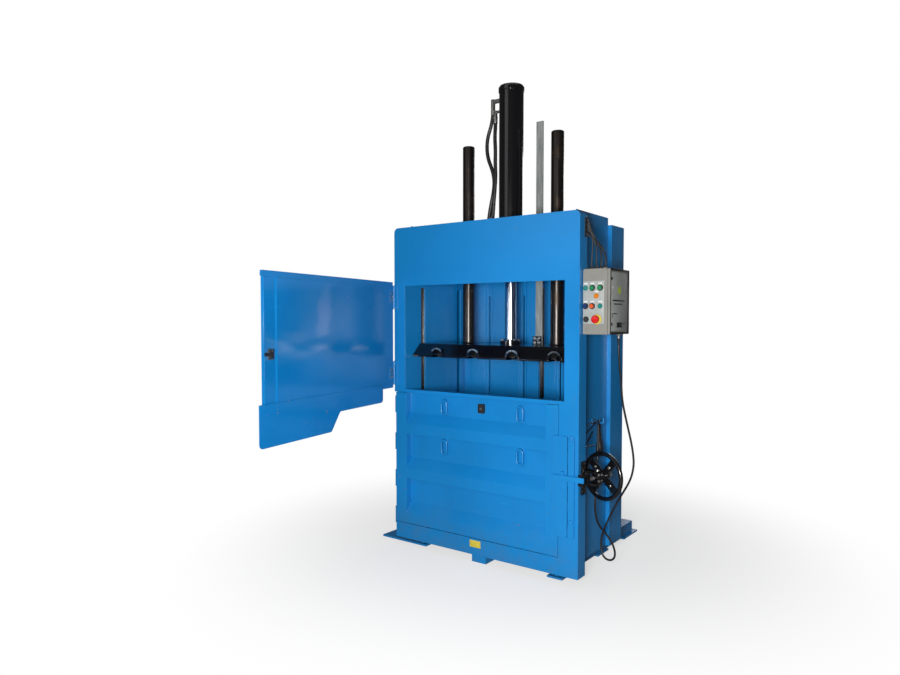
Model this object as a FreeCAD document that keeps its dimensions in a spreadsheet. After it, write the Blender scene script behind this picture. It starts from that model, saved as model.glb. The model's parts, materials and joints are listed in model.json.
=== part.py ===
import FreeCAD, Part
import math
import os
import Sketcher

# A vertical single-cylinder baler. +Z is up and the front looks along -Y.
# The origin is on the floor, in the middle of the four anchor holes.
os.makedirs("parts", exist_ok=True)
doc = FreeCAD.newDocument("RecyclingBaler")
V = FreeCAD.Vector

# Driving dimensions, in millimetres and degrees.
SIZES = {
    # front frame, one folded plate
    "frame_width": 1440, "front": -661, "frame_bottom": 50, "frame_top": 2245, "frame_plate": 8,
    "return_depth": 98, "frame_corner": 34, "side_strip": 97, "feed_bottom": 1112,
    "feed_top": 1837, "sill_strip": 22, "door_gap": 3,
    # body behind it
    "body_depth": 760, "wall": 8, "rear_post_depth": 200, "rear_post_set_in": 45, "rear_post_wall": 6,
    "rear_post_short": 25, "wall_short": 40, "skin_set_in": 72, "skin": 4, "skin_rise": 22,
    "dog_slot": 48,
    "dog_slot_bottom": 300, "dog_slot_top": 1830, "dog_slot_front": 202, "dog_slot_rear": 647,
    "dog_slot_back": 60, "hinge_post": 80, "back_fold": 30, "tie_slot": 12, "tie_slot_count": 4,
    "tie_slot_pitch": 305, "tie_slot_shift": 56, "tie_slot_bottom": 260, "tie_slot_top": 1780,
    "fold_half": 34, "channel_half": 30, "channel_depth": 26, "channel_plate": 3,
    "channel_over": 20, "floor_top": 160, "floor_plate": 12, "body_bottom": 96,
    # base
    "rail_in": 185, "rail_width": 80, "rail_bottom": 12, "rail_wall": 6, "rail_front": 112,
    "rail_rear": 1206, "foot_width": 106, "foot_front": 55, "foot_rear": 1277, "foot_length": 250,
    "anchor_spacing_y": 1158, "anchor_hole": 9, "middle_foot": 579,
    "middle_foot_length": 170, "left_foot_reach": 300, "bearer": 60, "centre_foot_width": 110,
    "centre_foot_depth": 100,
    # press
    "ram_depth": 402, "barrel_radius": 84, "barrel_bore": 70, "barrel_bottom": 1880, "barrel_top": 3165,
    "cap_radius": 89, "cap_height": 42, "gland_height": 40, "ram_rod": 40, "piston_height": 50,
    "piston_middle": 2710, "running_fit": 0.05, "guide_in": 265, "guide_rod": 42.5,
    "guide_top": 2842, "bush_radius": 62, "bush_flange": 82, "bush_flange_height": 16, "bush_rise": 140,
    "crosshead_up": 55, "crosshead_plate": 25, "beam_height": 230, "beam_flange": 62,
    "beam_web": 12, "beam_gap": 92,
    "platen_bottom": 1340, "platen_height": 90, "platen_clearance": 11, "platen_front": 72,
    "platen_rear": 18, "platen_channel": 46, "platen_slot_depth": 130,
    "collar_radius": 72, "collar_height": 24, "bar_x": 210, "bar_width": 50, "bar_thick": 12,
    "bar_top": 2937, "bar_set_back": 22, "bar_clamp": 62,
    # feed gate
    "gate_axis_in": 8, "gate_axis_out": 15, "gate_short": 90, "gate_bottom": 1120, "gate_top": 1865,
    "gate_sheet": 4, "gate_fold": 24, "gate_open": 79, "gate_band": 34, "gate_band_reach": 18,
    "skirt_reach": 52, "skirt_bottom": 915, "skirt_shallow": 1030, "skirt_step": 670,
    "skirt_deep": 762, "skirt_start": 161, "skirt_sheet": 5, "skirt_corner": 26, "gate_barrel": 9,
    "gate_knuckle": 90, "gate_knuckle_in": 60, "gate_latch_z": 1416,
    # bale door
    "door_axis_out": 4, "door_axis_in": 30, "door_in_left": 12, "door_in_right": 135, "door_bottom": 161,
    "door_top": 1087, "door_depth": 60, "door_sheet": 6, "stile_left": 96, "stile_right": 89,
    "door_field": 50, "rib_slope": 72, "rib_face": 75, "rib_top": 943, "rib_pitch": 317,
    "knuckle_length": 115, "knuckle_radius": 14, "knuckle_pin": 9, "knuckle_bottom": 140,
    "knuckle_pitch": 266, "hook_x": 300, "hook_z": 1002, "hook_drop": 270, "hook_wire": 7,
    "hook_width": 44, "hook_height": 96, "hook_out": 24, "hook_plate": 40, "pad_width": 44,
    "pad_height": 60, "pad_z": 1017, "lock_plate_in": 175, "lock_plate_out": 69,
    "lock_plate_bottom": 291, "lock_plate_top": 904, "lock_plate": 12, "lock_z": 655,
    "lock_bar_height": 32, "lock_bar_reach": 44, "lock_bar": 12, "keeper_gap": 5, "keeper": 40,
    # wheel clamp
    "clamp_out": 67, "clamp_in": 120, "clamp_turn": 17, "clamp_block": 46, "clamp_block_height": 60,
    "spindle": 12, "spindle_rear": 120, "fork_gap": 38, "fork_tine": 14, "fork_length": 58,
    "wheel_radius": 150, "wheel_rim": 13, "wheel_hub": 30, "wheel_hub_length": 46, "wheel_spokes": 4,
    "wheel_spoke": 44, "wheel_turned": 40, "pivot_pin": 10,
    "pivot_reach": 13.5, "ear_thick": 12, "ear_front": 64, "ear_rear": 135, "bracket_front": 30,
    "bracket_depth": 50, "bracket_plate": 10, "bracket_half": 100,
    # control box
    "box_gap": 2, "box_front": 35, "box_width": 158, "box_depth": 282, "box_bottom": 1515,
    "box_height": 384, "box_sheet": 3, "box_door": 14, "button": 13, "button_out": 16,
    "button_clearance": 0.3, "lever_button": 24,
    # power pack
    "shelf_length": 500, "shelf_plate": 12, "tank_in": 10, "tank_length": 240, "tank_height": 230,
    "tank_gap": 8, "pump_up": 66, "motor_out": 304, "elbow_down": 40, "hose": 11, "cable": 4.5,
    "cord": 6.5, "peg": 5, "peg_length": 74, "peg_out": 345, "peg_z": 949, "plug_in": 43,
}


class Dim:
    """A size that keeps its value and the sheet expression that gives it."""

    def __init__(self, value, text):
        self.value, self.text = value, text

    @staticmethod
    def of(other):
        return other if isinstance(other, Dim) else Dim(float(other), "%.10g" % other)

    def __add__(self, other):
        other = Dim.of(other)
        return Dim(self.value + other.value, "(%s + %s)" % (self.text, other.text))

    def __sub__(self, other):
        other = Dim.of(other)
        return Dim(self.value - other.value, "(%s - %s)" % (self.text, other.text))

    def __mul__(self, other):
        other = Dim.of(other)
        return Dim(self.value * other.value, "(%s * %s)" % (self.text, other.text))

    def __truediv__(self, other):
        other = Dim.of(other)
        return Dim(self.value / other.value, "(%s / %s)" % (self.text, other.text))

    def __neg__(self):
        return Dim(-self.value, "(0 - %s)" % self.text)

    __radd__ = __add__
    __rmul__ = __mul__

    def __rsub__(self, other):
        return Dim.of(other) - self


sheet = doc.addObject("Spreadsheet::Sheet", "Sizes")
for row, (alias, size) in enumerate(SIZES.items(), start=1):
    sheet.set("A%d" % row, alias)
    sheet.set("B%d" % row, str(size))
    sheet.setAlias("B%d" % row, alias)
doc.recompute()


def dim(alias):
    return Dim(float(sheet.get(alias)), "Sizes." + alias)


class Sheet:
    """Reads a size by its alias, as S.frame_width."""

    def __getattr__(self, alias):
        return dim(alias)


S = Sheet()
PLANE_AXES = {"XY": "XY_Plane", "XZ": "XZ_Plane", "YZ": "YZ_Plane"}
NODES = []


def bind(thing, path, size):
    thing.setExpression(path, Dim.of(size).text)


def place(thing, x=0, y=0, z=0, axis=None, angle=0):
    """Puts a piece at x, y, z, turned about an axis."""
    if axis is not None:
        thing.Placement = FreeCAD.Placement(V(0, 0, 0), FreeCAD.Rotation(V(*axis), Dim.of(angle).value))
        if isinstance(angle, Dim):
            bind(thing, "Placement.Rotation.Angle", angle)
    for letter, size in zip("xyz", (x, y, z)):
        bind(thing, "Placement.Base." + letter, size)


def node(thing, label):
    """Marks a piece as one that is written out under its label."""
    thing.Label = label
    NODES.append(thing)
    return thing


def box(x, y, z, length, width, height):
    """A block from its lowest corner, its sizes along X, Y and Z."""
    piece = doc.addObject("Part::Box", "Block")
    for path, size in zip(("Length", "Width", "Height"), (length, width, height)):
        bind(piece, path, size)
    place(piece, x, y, z)
    return piece


def rod(x, y, z, radius, height, along="Z"):
    """A cylinder that starts at x, y, z and runs along an axis."""
    piece = doc.addObject("Part::Cylinder", "Rod")
    bind(piece, "Radius", radius)
    bind(piece, "Height", height)
    turn = {"Z": None, "X": (0, 1, 0), "Y": (1, 0, 0)}[along]
    place(piece, x, y, z, turn, {"Z": 0, "X": 90, "Y": -90}[along])
    return piece


def join(*pieces):
    result = doc.addObject("Part::MultiFuse", "Joined")
    result.Shapes = list(pieces)
    return result


def group(*pieces):
    """Separate solids that share one node."""
    result = doc.addObject("Part::Compound", "Group")
    result.Links = list(pieces)
    return result


def cut(base, *tools):
    for tool in tools:
        result = doc.addObject("Part::Cut", "Cut")
        result.Base, result.Tool = base, tool
        base = result
    return base


def outline(sketch, points):
    """Closes a run of straight edges, each corner held to the origin by two sizes."""
    first = sketch.GeometryCount
    corners = [V(Dim.of(a).value, Dim.of(b).value, 0) for a, b in points]
    for start, end in zip(corners, corners[1:] + corners[:1]):
        sketch.addGeometry(Part.LineSegment(start, end), False)
    for i, (across, up) in enumerate(points):
        line = first + i
        last = first + (i - 1) % len(points)
        sketch.addConstraint(Sketcher.Constraint("Coincident", last, 2, line, 1))
        for kind, size in (("DistanceX", across), ("DistanceY", up)):
            number = sketch.addConstraint(Sketcher.Constraint(kind, -1, 1, line, 1, Dim.of(size).value))
            if isinstance(size, Dim):
                sketch.setExpression("Constraints[%d]" % number, size.text)


def ring(sketch, across, up, radius):
    """A circle held to the origin."""
    centre = V(Dim.of(across).value, Dim.of(up).value, 0)
    line = sketch.addGeometry(Part.Circle(centre, V(0, 0, 1), Dim.of(radius).value), False)
    for kind, size in (("DistanceX", across), ("DistanceY", up)):
        number = sketch.addConstraint(Sketcher.Constraint(kind, -1, 1, line, 3, Dim.of(size).value))
        bind(sketch, "Constraints[%d]" % number, size)
    number = sketch.addConstraint(Sketcher.Constraint("Radius", line, Dim.of(radius).value))
    bind(sketch, "Constraints[%d]" % number, radius)


def sketch_on(body, plane, level):
    """A sketch on one of the body's own origin planes, moved along its normal."""
    sketch = body.newObject("Sketcher::SketchObject", "Profile")
    for feature in body.Origin.OriginFeatures:
        if feature.Role == PLANE_AXES[plane]:
            sketch.AttachmentSupport = (feature, [""])
    sketch.MapMode = "FlatFace"
    bind(sketch, "AttachmentOffset.Base.z", level)
    return sketch


def profile(plane, points, level, length, circles=()):
    """A body padded from an outline; level is where the pad's low side lies on the normal."""
    body = doc.addObject("PartDesign::Body", "Body")
    # the XZ plane looks along -Y, so its pads start at their far side
    start = -(Dim.of(level) + length) if plane == "XZ" else level
    sketch = sketch_on(body, plane, start)
    outline(sketch, points)
    for circle in circles:
        ring(sketch, *circle)
    pad = body.newObject("PartDesign::Pad", "Pad")
    pad.Profile = sketch
    bind(pad, "Length", length)
    sketch.Visibility = False
    return body


def turned(points, x, y, z, axis=None, angle=0):
    """A body turned about its own Z axis from (radius, height) points."""
    body = doc.addObject("PartDesign::Body", "Body")
    sketch = sketch_on(body, "XZ", 0)
    outline(sketch, points)
    turn = body.newObject("PartDesign::Revolution", "Turn")
    turn.Profile = sketch
    turn.ReferenceAxis = (sketch, ["V_Axis"])
    turn.Angle = 360
    place(body, x, y, z, axis, angle)
    return body


def soften(body, radius, wanted):
    """Rounds the edges that a test on their middle point and direction picks."""
    doc.recompute()
    names = []
    for number, edge in enumerate(body.Shape.Edges, start=1):
        if edge.Curve.TypeId == "Part::GeomLine":
            low, high = edge.Vertexes[0].Point, edge.Vertexes[-1].Point
            if wanted((low + high) / 2, (high - low).normalize()):
                names.append("Edge%d" % number)
    fillet = body.newObject("PartDesign::Fillet", "Round")
    fillet.Base = (body.Tip if fillet.BaseFeature is None else fillet.BaseFeature, names)
    bind(fillet, "Radius", radius)
    return body


def rectangle(left, bottom, right, top):
    return [(left, bottom), (right, bottom), (right, top), (left, top)]


# ---------------------------------------------------------------- shared places
half = S.frame_width / 2
inside = half - S.side_strip
outside = inside + S.wall
skin_inner = half - S.skin_set_in - S.skin
feed_width = 2 * inside
guide_x = inside - S.guide_in
rail_x = half - S.rail_in
gate_axis_x = S.gate_axis_in - half
gate_length = S.frame_width - S.gate_short
door_axis_x = -(half + S.door_axis_out)
door_left = S.door_in_left - half
door_right = half - S.door_in_right
lock_plate_left = half - S.lock_plate_in
lock_plate_right = half - S.lock_plate_out
clamp_x = half + S.clamp_out
box_x = half + S.box_gap
crosshead_bottom = S.barrel_bottom + S.crosshead_up
plate_top = crosshead_bottom + S.crosshead_plate
rear = S.front + S.body_depth
ram_y = S.front + S.ram_depth
door_cut_top = S.feed_bottom - S.sill_strip


def front_frame():
    """One plate folded back at its sides and top, with the feed and door openings cut."""
    body = profile("XZ", [
        (-half, door_cut_top), (door_right + S.door_gap, door_cut_top),
        (door_right + S.door_gap, S.door_bottom - S.door_gap),
        (door_left, S.door_bottom - S.door_gap), (door_left, S.frame_bottom),
        (half, S.frame_bottom), (half, S.frame_top), (-half, S.frame_top)],
        S.front, S.frame_plate)
    sketch = sketch_on(body, "XZ", -(S.front + S.frame_plate))
    outline(sketch, rectangle(-inside, S.feed_bottom, inside, S.feed_top))
    pocket = body.newObject("PartDesign::Pocket", "FeedOpening")
    pocket.Profile = sketch
    pocket.Type = "ThroughAll"
    pocket.Midplane = True
    top = S.frame_top.value
    soften(body, S.frame_corner, lambda at, way: abs(way.y) > 0.9 and at.z > top - 1)
    inner = half - S.frame_plate
    ceiling = S.frame_top - S.frame_plate
    fold = profile("XZ", [(-half, door_cut_top), (-inner, door_cut_top), (-inner, ceiling),
                          (inner, ceiling), (inner, S.frame_bottom), (half, S.frame_bottom),
                          (half, S.frame_top), (-half, S.frame_top)], S.front, S.return_depth)
    soften(fold, S.frame_corner, lambda at, way: abs(way.y) > 0.9 and at.z > top - 1)
    bend = S.frame_corner - S.frame_plate
    soften(fold, bend, lambda at, way: abs(way.y) > 0.9 and abs(at.z - ceiling.value) < 1)
    lips = []
    for low, bottom in ((skin_inner, S.frame_bottom), (-half, door_cut_top)):
        lips.append(box(low, S.front + S.return_depth - S.frame_plate, bottom, half - skin_inner,
                        S.frame_plate, S.frame_top - S.frame_corner - bottom))
    sill = box(-inside, S.front, S.feed_bottom - S.frame_plate, feed_width,
               S.platen_front - S.frame_plate, S.frame_plate)
    return node(join(body, fold, sill, *lips), "front_frame")


def tie_places():
    """The X of each tie slot and of the press plate's channel over it."""
    count = int(S.tie_slot_count.value)
    return [(i - (count - 1) / 2) * S.tie_slot_pitch + S.tie_slot_shift for i in range(count)]


def shouldered(low_front, high_front, back, low, shoulder, high):
    """A wall's side view, its part over the door reaching further to the front."""
    return [(low_front, low), (back, low), (back, high), (high_front, high), (high_front, shoulder),
            (low_front, shoulder)]


def posts_and_walls():
    """Double side walls, with slots for the bale dogs in the inner ones, and three posts."""
    wall_front = S.front + S.door_depth + S.door_gap
    wide, t = S.hinge_post, S.rear_post_wall
    height = door_cut_top - S.frame_bottom - 1
    node(cut(box(-half, wall_front, S.frame_bottom, wide, wide, height),
             box(t - half, wall_front + t, S.frame_bottom - 1, wide - 2 * t, wide - 2 * t, height + 2)),
         "hinge_post")
    back = rear - S.back_fold
    post_y = rear - S.rear_post_depth
    shoulder = door_cut_top + S.door_gap
    slot_height = S.dog_slot_top - S.dog_slot_bottom
    post_out = half - S.rear_post_set_in
    post_top = S.frame_top - S.rear_post_short
    walls, posts = [], []
    for side in (-1, 1):
        x = inside if side > 0 else -outside
        low_front = wall_front if side > 0 else wall_front + S.hinge_post
        slots = [box(-outside - t - 1 if side < 0 else inside - 1, S.front + middle - S.dog_slot / 2,
                     S.dog_slot_bottom, S.wall + t + 2, S.dog_slot, slot_height)
                 for middle in (S.dog_slot_front, S.dog_slot_rear)]
        line = shouldered(low_front, S.front + S.frame_plate, back, S.body_bottom, shoulder,
                          S.frame_top - S.wall_short)
        walls.append(cut(profile("YZ", line, x, S.wall), *slots))
        low = outside if side > 0 else -post_out
        width = post_out - outside
        posts.append(cut(box(low, post_y, S.body_bottom, width, S.rear_post_depth,
                             post_top - S.body_bottom),
                         box(low + t, post_y + t, S.body_bottom - 1, width - 2 * t,
                             S.rear_post_depth - 2 * t, S.frame_top - S.body_bottom), slots[1]))
    skin_front = S.front + S.return_depth
    skin_top = S.frame_top + S.skin_rise
    walls.append(box(skin_inner, skin_front, S.body_bottom, S.skin, post_y - skin_front,
                     skin_top - S.body_bottom))
    line = shouldered(wall_front + S.hinge_post, skin_front, post_y, S.body_bottom, shoulder, skin_top)
    walls.append(profile("YZ", line, S.skin_set_in - half, S.skin))
    node(group(*walls), "side_walls")
    node(group(*posts), "rear_posts")


def back_wall():
    """Folded panels with tie slots and one dog slot, and the channels that close them behind."""
    y0, y1 = rear - S.back_fold, rear - 1
    wide, bend = S.fold_half, S.fold_half - 12
    recess = y0 + 14
    points = [(-inside, y0)]
    for middle in tie_places():
        points += [(middle - wide, y0), (middle - bend, recess), (middle + bend, recess),
                   (middle + wide, y0)]
    points += [(inside, y0), (inside, y1), (-inside, y1)]
    body = profile("XY", points, S.body_bottom, S.frame_top - S.body_bottom - 60)
    slots = [box(x - S.tie_slot / 2, y0 - 1, S.tie_slot_bottom, S.tie_slot, S.back_fold + 2,
                 S.tie_slot_top - S.tie_slot_bottom) for x in tie_places()]
    slots.append(box(S.dog_slot_back - S.dog_slot / 2, y0 - 1, S.dog_slot_bottom, S.dog_slot,
                     S.back_fold + 2, S.dog_slot_top - S.dog_slot_bottom))
    node(cut(body, *slots), "back_wall")
    channels = []
    w, t, end = S.channel_half, S.channel_plate, y1 + S.channel_depth
    low = S.tie_slot_bottom - S.channel_over
    tall = S.dog_slot_top + S.channel_over - low
    for x in tie_places() + [S.dog_slot_back]:
        channels.append(profile("XY", [(x - w, y1), (x - w + t, y1), (x - w + t, end - t),
                                       (x + w - t, end - t), (x + w - t, y1), (x + w, y1),
                                       (x + w, end), (x - w, end)], low, tall))
    middle = S.front + S.dog_slot_front
    for side in (-1, 1):
        near, far = side * outside, side * skin_inner
        channels.append(profile("XY", [(near, middle - w), (near, middle - w + t),
                                       (far - side * t, middle - w + t),
                                       (far - side * t, middle + w - t), (near, middle + w - t),
                                       (near, middle + w), (far, middle + w), (far, middle - w)],
                                low, tall))
    node(group(*channels), "tie_channels")


def base():
    front = S.front
    floor = box(-inside, front + S.door_depth + S.door_gap, S.floor_top - S.floor_plate, feed_width,
                S.body_depth - S.door_depth - S.door_gap - S.back_fold, S.floor_plate)
    spread = S.body_depth - 200
    bearers = [box(-inside, front + 110 + i * spread / 2, S.body_bottom, feed_width, S.bearer,
                   S.floor_top - S.floor_plate - S.body_bottom) for i in range(3)]
    node(join(floor, *bearers), "chamber_floor")
    rails, plates = [], []
    rail_height = S.body_bottom - S.rail_bottom
    t = S.rail_wall
    length = S.rail_rear - S.rail_front
    for side in (-1, 1):
        low = side * rail_x - S.rail_width / 2
        rails.append(cut(box(low, front + S.rail_front, S.rail_bottom, S.rail_width, length, rail_height),
                         box(low + t, front + S.rail_front - 1, S.rail_bottom + t,
                             S.rail_width - 2 * t, length + 2, rail_height - 2 * t)))
        plate_low = side * rail_x - S.foot_width / 2
        for sign in (-1, 1):
            y = front + S.foot_front if sign < 0 else front + S.foot_rear - S.foot_length
            reach = S.left_foot_reach if (side < 0 and sign < 0) else Dim.of(0)
            plates.append(profile("XY", rectangle(plate_low - reach, y, plate_low + S.foot_width,
                                                  y + S.foot_length), 0, S.rail_bottom,
                                  [(side * rail_x, sign * S.anchor_spacing_y / 2, S.anchor_hole)]))
        plates.append(box(plate_low, front + S.middle_foot, 0, S.foot_width, S.middle_foot_length,
                          S.rail_bottom))
    plates.append(box(-S.centre_foot_width / 2, front + S.frame_plate + 2, 0, S.centre_foot_width,
                      S.centre_foot_depth, S.body_bottom))
    node(group(*rails), "base_rails")
    node(group(*plates), "foot_plates")


def press():
    """The fixed cylinder, the crosshead that carries it and the guide bushes."""
    y = ram_y
    bore = 0.3
    holes = [rod(side * guide_x, y, crosshead_bottom - 1, S.bush_radius + bore,
                 S.crosshead_plate + 2) for side in (-1, 1)]
    slot = box(S.bar_x - S.bar_width / 2 - 6, y + S.bar_set_back - 6, crosshead_bottom - 1,
               S.bar_width + 12, S.bar_thick + 12, S.crosshead_plate + 2)
    reach = S.beam_gap + S.beam_flange
    plate = cut(box(-inside, y - reach, crosshead_bottom, feed_width, 2 * reach,
                    S.crosshead_plate), slot, *holes,
                rod(0, y, crosshead_bottom - 1, S.barrel_radius + bore, S.crosshead_plate + 2))
    beams = []
    for side in (-1, 1):
        web = y + side * S.beam_gap
        tip = y + side * (S.beam_gap + S.beam_flange)
        inner = web + side * S.beam_web
        top = plate_top + S.beam_height
        w = S.beam_web
        beams.append(profile("YZ", [(web, plate_top), (tip, plate_top), (tip, plate_top + w),
                                    (inner, plate_top + w), (inner, top - w), (tip, top - w),
                                    (tip, top), (web, top)], -inside, feed_width))
    node(group(plate, *beams), "crosshead")
    rod_r = S.guide_rod + S.running_fit
    low = crosshead_bottom - 30 - plate_top
    top = S.bush_rise
    bushes = [turned([(rod_r, low), (S.bush_radius, low), (S.bush_radius, 0), (S.bush_flange, 0),
                      (S.bush_flange, S.bush_flange_height), (S.bush_radius, S.bush_flange_height),
                      (S.bush_radius, top), (rod_r, top)], side * guide_x, y, plate_top)
              for side in (-1, 1)]
    node(group(*bushes), "guide_bushes")
    ring_r = S.barrel_radius + 7
    barrel = turned([(S.barrel_bore, S.barrel_bottom), (S.barrel_radius, S.barrel_bottom),
                     (S.barrel_radius, plate_top), (ring_r, plate_top), (ring_r, plate_top + 30),
                     (S.barrel_radius, plate_top + 30), (S.barrel_radius, S.barrel_top),
                     (S.barrel_bore, S.barrel_top)], 0, y, 0)
    gland_r = S.ram_rod + S.running_fit
    top = S.barrel_bottom + S.gland_height
    node(turned([(gland_r, S.barrel_bottom - 14), (S.barrel_radius - 8, S.barrel_bottom - 14),
                 (S.barrel_radius, S.barrel_bottom), (S.barrel_bore, S.barrel_bottom),
                 (S.barrel_bore, top), (gland_r, top)], 0, y, 0), "cylinder_gland")
    high = S.barrel_top + S.cap_height
    cap = turned([(0, S.barrel_top), (S.cap_radius, S.barrel_top), (S.cap_radius, high - 16),
                  (S.cap_radius - 9, high - 3), (S.cap_radius - 18, high), (0, high)], 0, y, 0)
    node(group(barrel, cap), "cylinder_barrel")


def platen():
    """The press plate with its channels, the ram and the guide rods that ride on it."""
    half_w = inside - S.platen_clearance
    y0, y1 = S.front + S.platen_front, rear - S.back_fold - S.platen_rear
    z0, z1 = S.platen_bottom, S.platen_bottom + S.platen_height
    body = profile("XZ", [(-half_w, z0), (half_w, z0), (half_w, z1 - 14), (half_w - 14, z1),
                          (-half_w + 14, z1), (-half_w, z1 - 14)], y0, y1 - y0)
    slots = []
    w = S.platen_channel
    for x in tie_places():
        slots.append(join(box(x - w / 2, y0 - 1, z0 - 1, w, y1 - y0 + 2, 26),
                          rod(x, y0 - 1, z0 + 25, w / 2, y1 - y0 + 2, "Y")))
    node(cut(body, *slots), "platen")
    y = ram_y
    tall = S.guide_top - z1
    rods = [turned([(0, 0), (S.guide_rod, 0), (S.guide_rod, tall - 5), (S.guide_rod - 5, tall), (0, tall)],
                   side * guide_x, y, z1) for side in (-1, 1)]
    node(group(*rods), "guide_rods")
    ram_top = S.piston_middle - S.piston_height / 2
    flange_top = z1 + S.collar_height
    node(turned([(0, z1), (S.collar_radius, z1), (S.collar_radius, flange_top),
                 (S.ram_rod + 10, flange_top + 8), (S.ram_rod, flange_top + 8), (S.ram_rod, ram_top),
                 (0, ram_top)], 0, y, 0), "piston_rod")
    piston_r = S.barrel_bore - S.running_fit
    groove = S.piston_height / 2 - 4
    node(turned([(0, ram_top), (piston_r, ram_top), (piston_r, ram_top + groove),
                 (piston_r - 5, ram_top + groove), (piston_r - 5, ram_top + groove + 8),
                 (piston_r, ram_top + groove + 8), (piston_r, ram_top + S.piston_height),
                 (0, ram_top + S.piston_height)], 0, y, 0), "piston")
    bar_y = y + S.bar_set_back
    c = S.bar_clamp
    node(group(box(S.bar_x - S.bar_width / 2, bar_y, z1, S.bar_width, S.bar_thick, S.bar_top - z1),
               box(S.bar_x - c / 2, bar_y - 20, z1, c, 20, 58)), "position_bar")


def feed_gate():
    """Gate pieces in hinge coordinates: X along the closed gate, Y in from its outer face."""
    x0, length = 14, gate_length
    t, fold = S.gate_sheet, S.gate_fold
    face = 0
    turned_out = -S.gate_open

    def seat(piece, label):
        place(piece, gate_axis_x, S.front - S.gate_axis_out, 0, (0, 0, 1), turned_out)
        return node(piece, label)

    panel = profile("XY", [(x0, -fold), (x0 + t, -fold), (x0 + t, -t), (length - 100, -t),
                           (length - 88, -t - 5), (length - t, -t - 5), (length - t, -fold),
                           (length, -fold), (length, -5), (length - 88, -5), (length - 100, 0),
                           (x0, 0)], S.gate_bottom, S.gate_top - S.gate_bottom - S.gate_band)
    band_z = S.gate_top - S.gate_band
    band_end = length + S.gate_band_reach
    band = profile("XZ", rectangle(x0, band_z, band_end, S.gate_top), -14, 13)
    soften(band, 9, lambda at, way: at.x > length.value and abs(way.y) > 0.9)
    seat(join(panel, band), "gate_panel")
    end = length + S.skirt_reach
    skirt = profile("XZ", [(S.skirt_start, S.skirt_shallow), (S.skirt_step, S.skirt_shallow),
                           (S.skirt_deep, S.skirt_bottom), (end, S.skirt_bottom),
                           (end, S.gate_bottom + 30), (S.skirt_start, S.gate_bottom + 30)],
                    0.2, S.skirt_sheet)
    low = S.skirt_shallow.value + 1
    soften(skirt, S.skirt_corner, lambda at, way: abs(way.y) > 0.9 and at.z < low)
    seat(skirt, "gate_skirt")
    knuckles = []
    for z in (S.gate_bottom + S.gate_knuckle_in, S.gate_top - S.gate_knuckle_in - S.gate_knuckle):
        leaf = box(0, 0, z, 60, 2, S.gate_knuckle)
        barrel = rod(0, 0, z, S.gate_barrel, S.gate_knuckle)
        bore = rod(0, 0, z - 1, 4.05, S.gate_knuckle + 2)
        knuckles.append(cut(join(leaf, barrel), bore))
    seat(group(*knuckles), "gate_hinge_leaves")
    latch_x = length - 60
    seat(join(box(latch_x, -5, S.gate_latch_z - 28, 34, 16, 56),
              box(latch_x + 26, 4, S.gate_latch_z - 9, 42, 6, 18)), "gate_latch")
    pins = []
    for z in (S.gate_bottom + S.gate_knuckle_in, S.gate_top - S.gate_knuckle_in - S.gate_knuckle):
        plate = box(gate_axis_x - 8, S.front - 5, z - 40, 30, 5, S.gate_knuckle + 80)
        low_ear = rod(gate_axis_x, S.front - S.gate_axis_out, z - 36, S.gate_barrel, 35)
        high_ear = rod(gate_axis_x, S.front - S.gate_axis_out, z + S.gate_knuckle + 1,
                       S.gate_barrel, 35)
        tabs = [box(gate_axis_x - 4, S.front - S.gate_axis_out, level, 8, S.gate_axis_out, 35)
                for level in (z - 36, z + S.gate_knuckle + 1)]
        pin = rod(gate_axis_x, S.front - S.gate_axis_out, z - 30, 4, S.gate_knuckle + 60)
        pins.append(join(plate, low_ear, high_ear, pin, *tabs))
    node(group(*pins), "gate_hinge_lugs")


def rib_line(back, down):
    """The door field's stepped line from its top to its foot, moved back and down."""
    y_out, y_in = S.front + back, S.front + S.door_field + back
    points = [(y_in, S.door_top)]
    for i in range(3):
        top = S.rib_top - i * S.rib_pitch - down
        foot = S.rib_top - i * S.rib_pitch - S.rib_slope - S.rib_face + down
        points += [(y_in, top), (y_out, top - S.rib_slope), (y_out, foot), (y_in, foot)]
    return points


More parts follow.
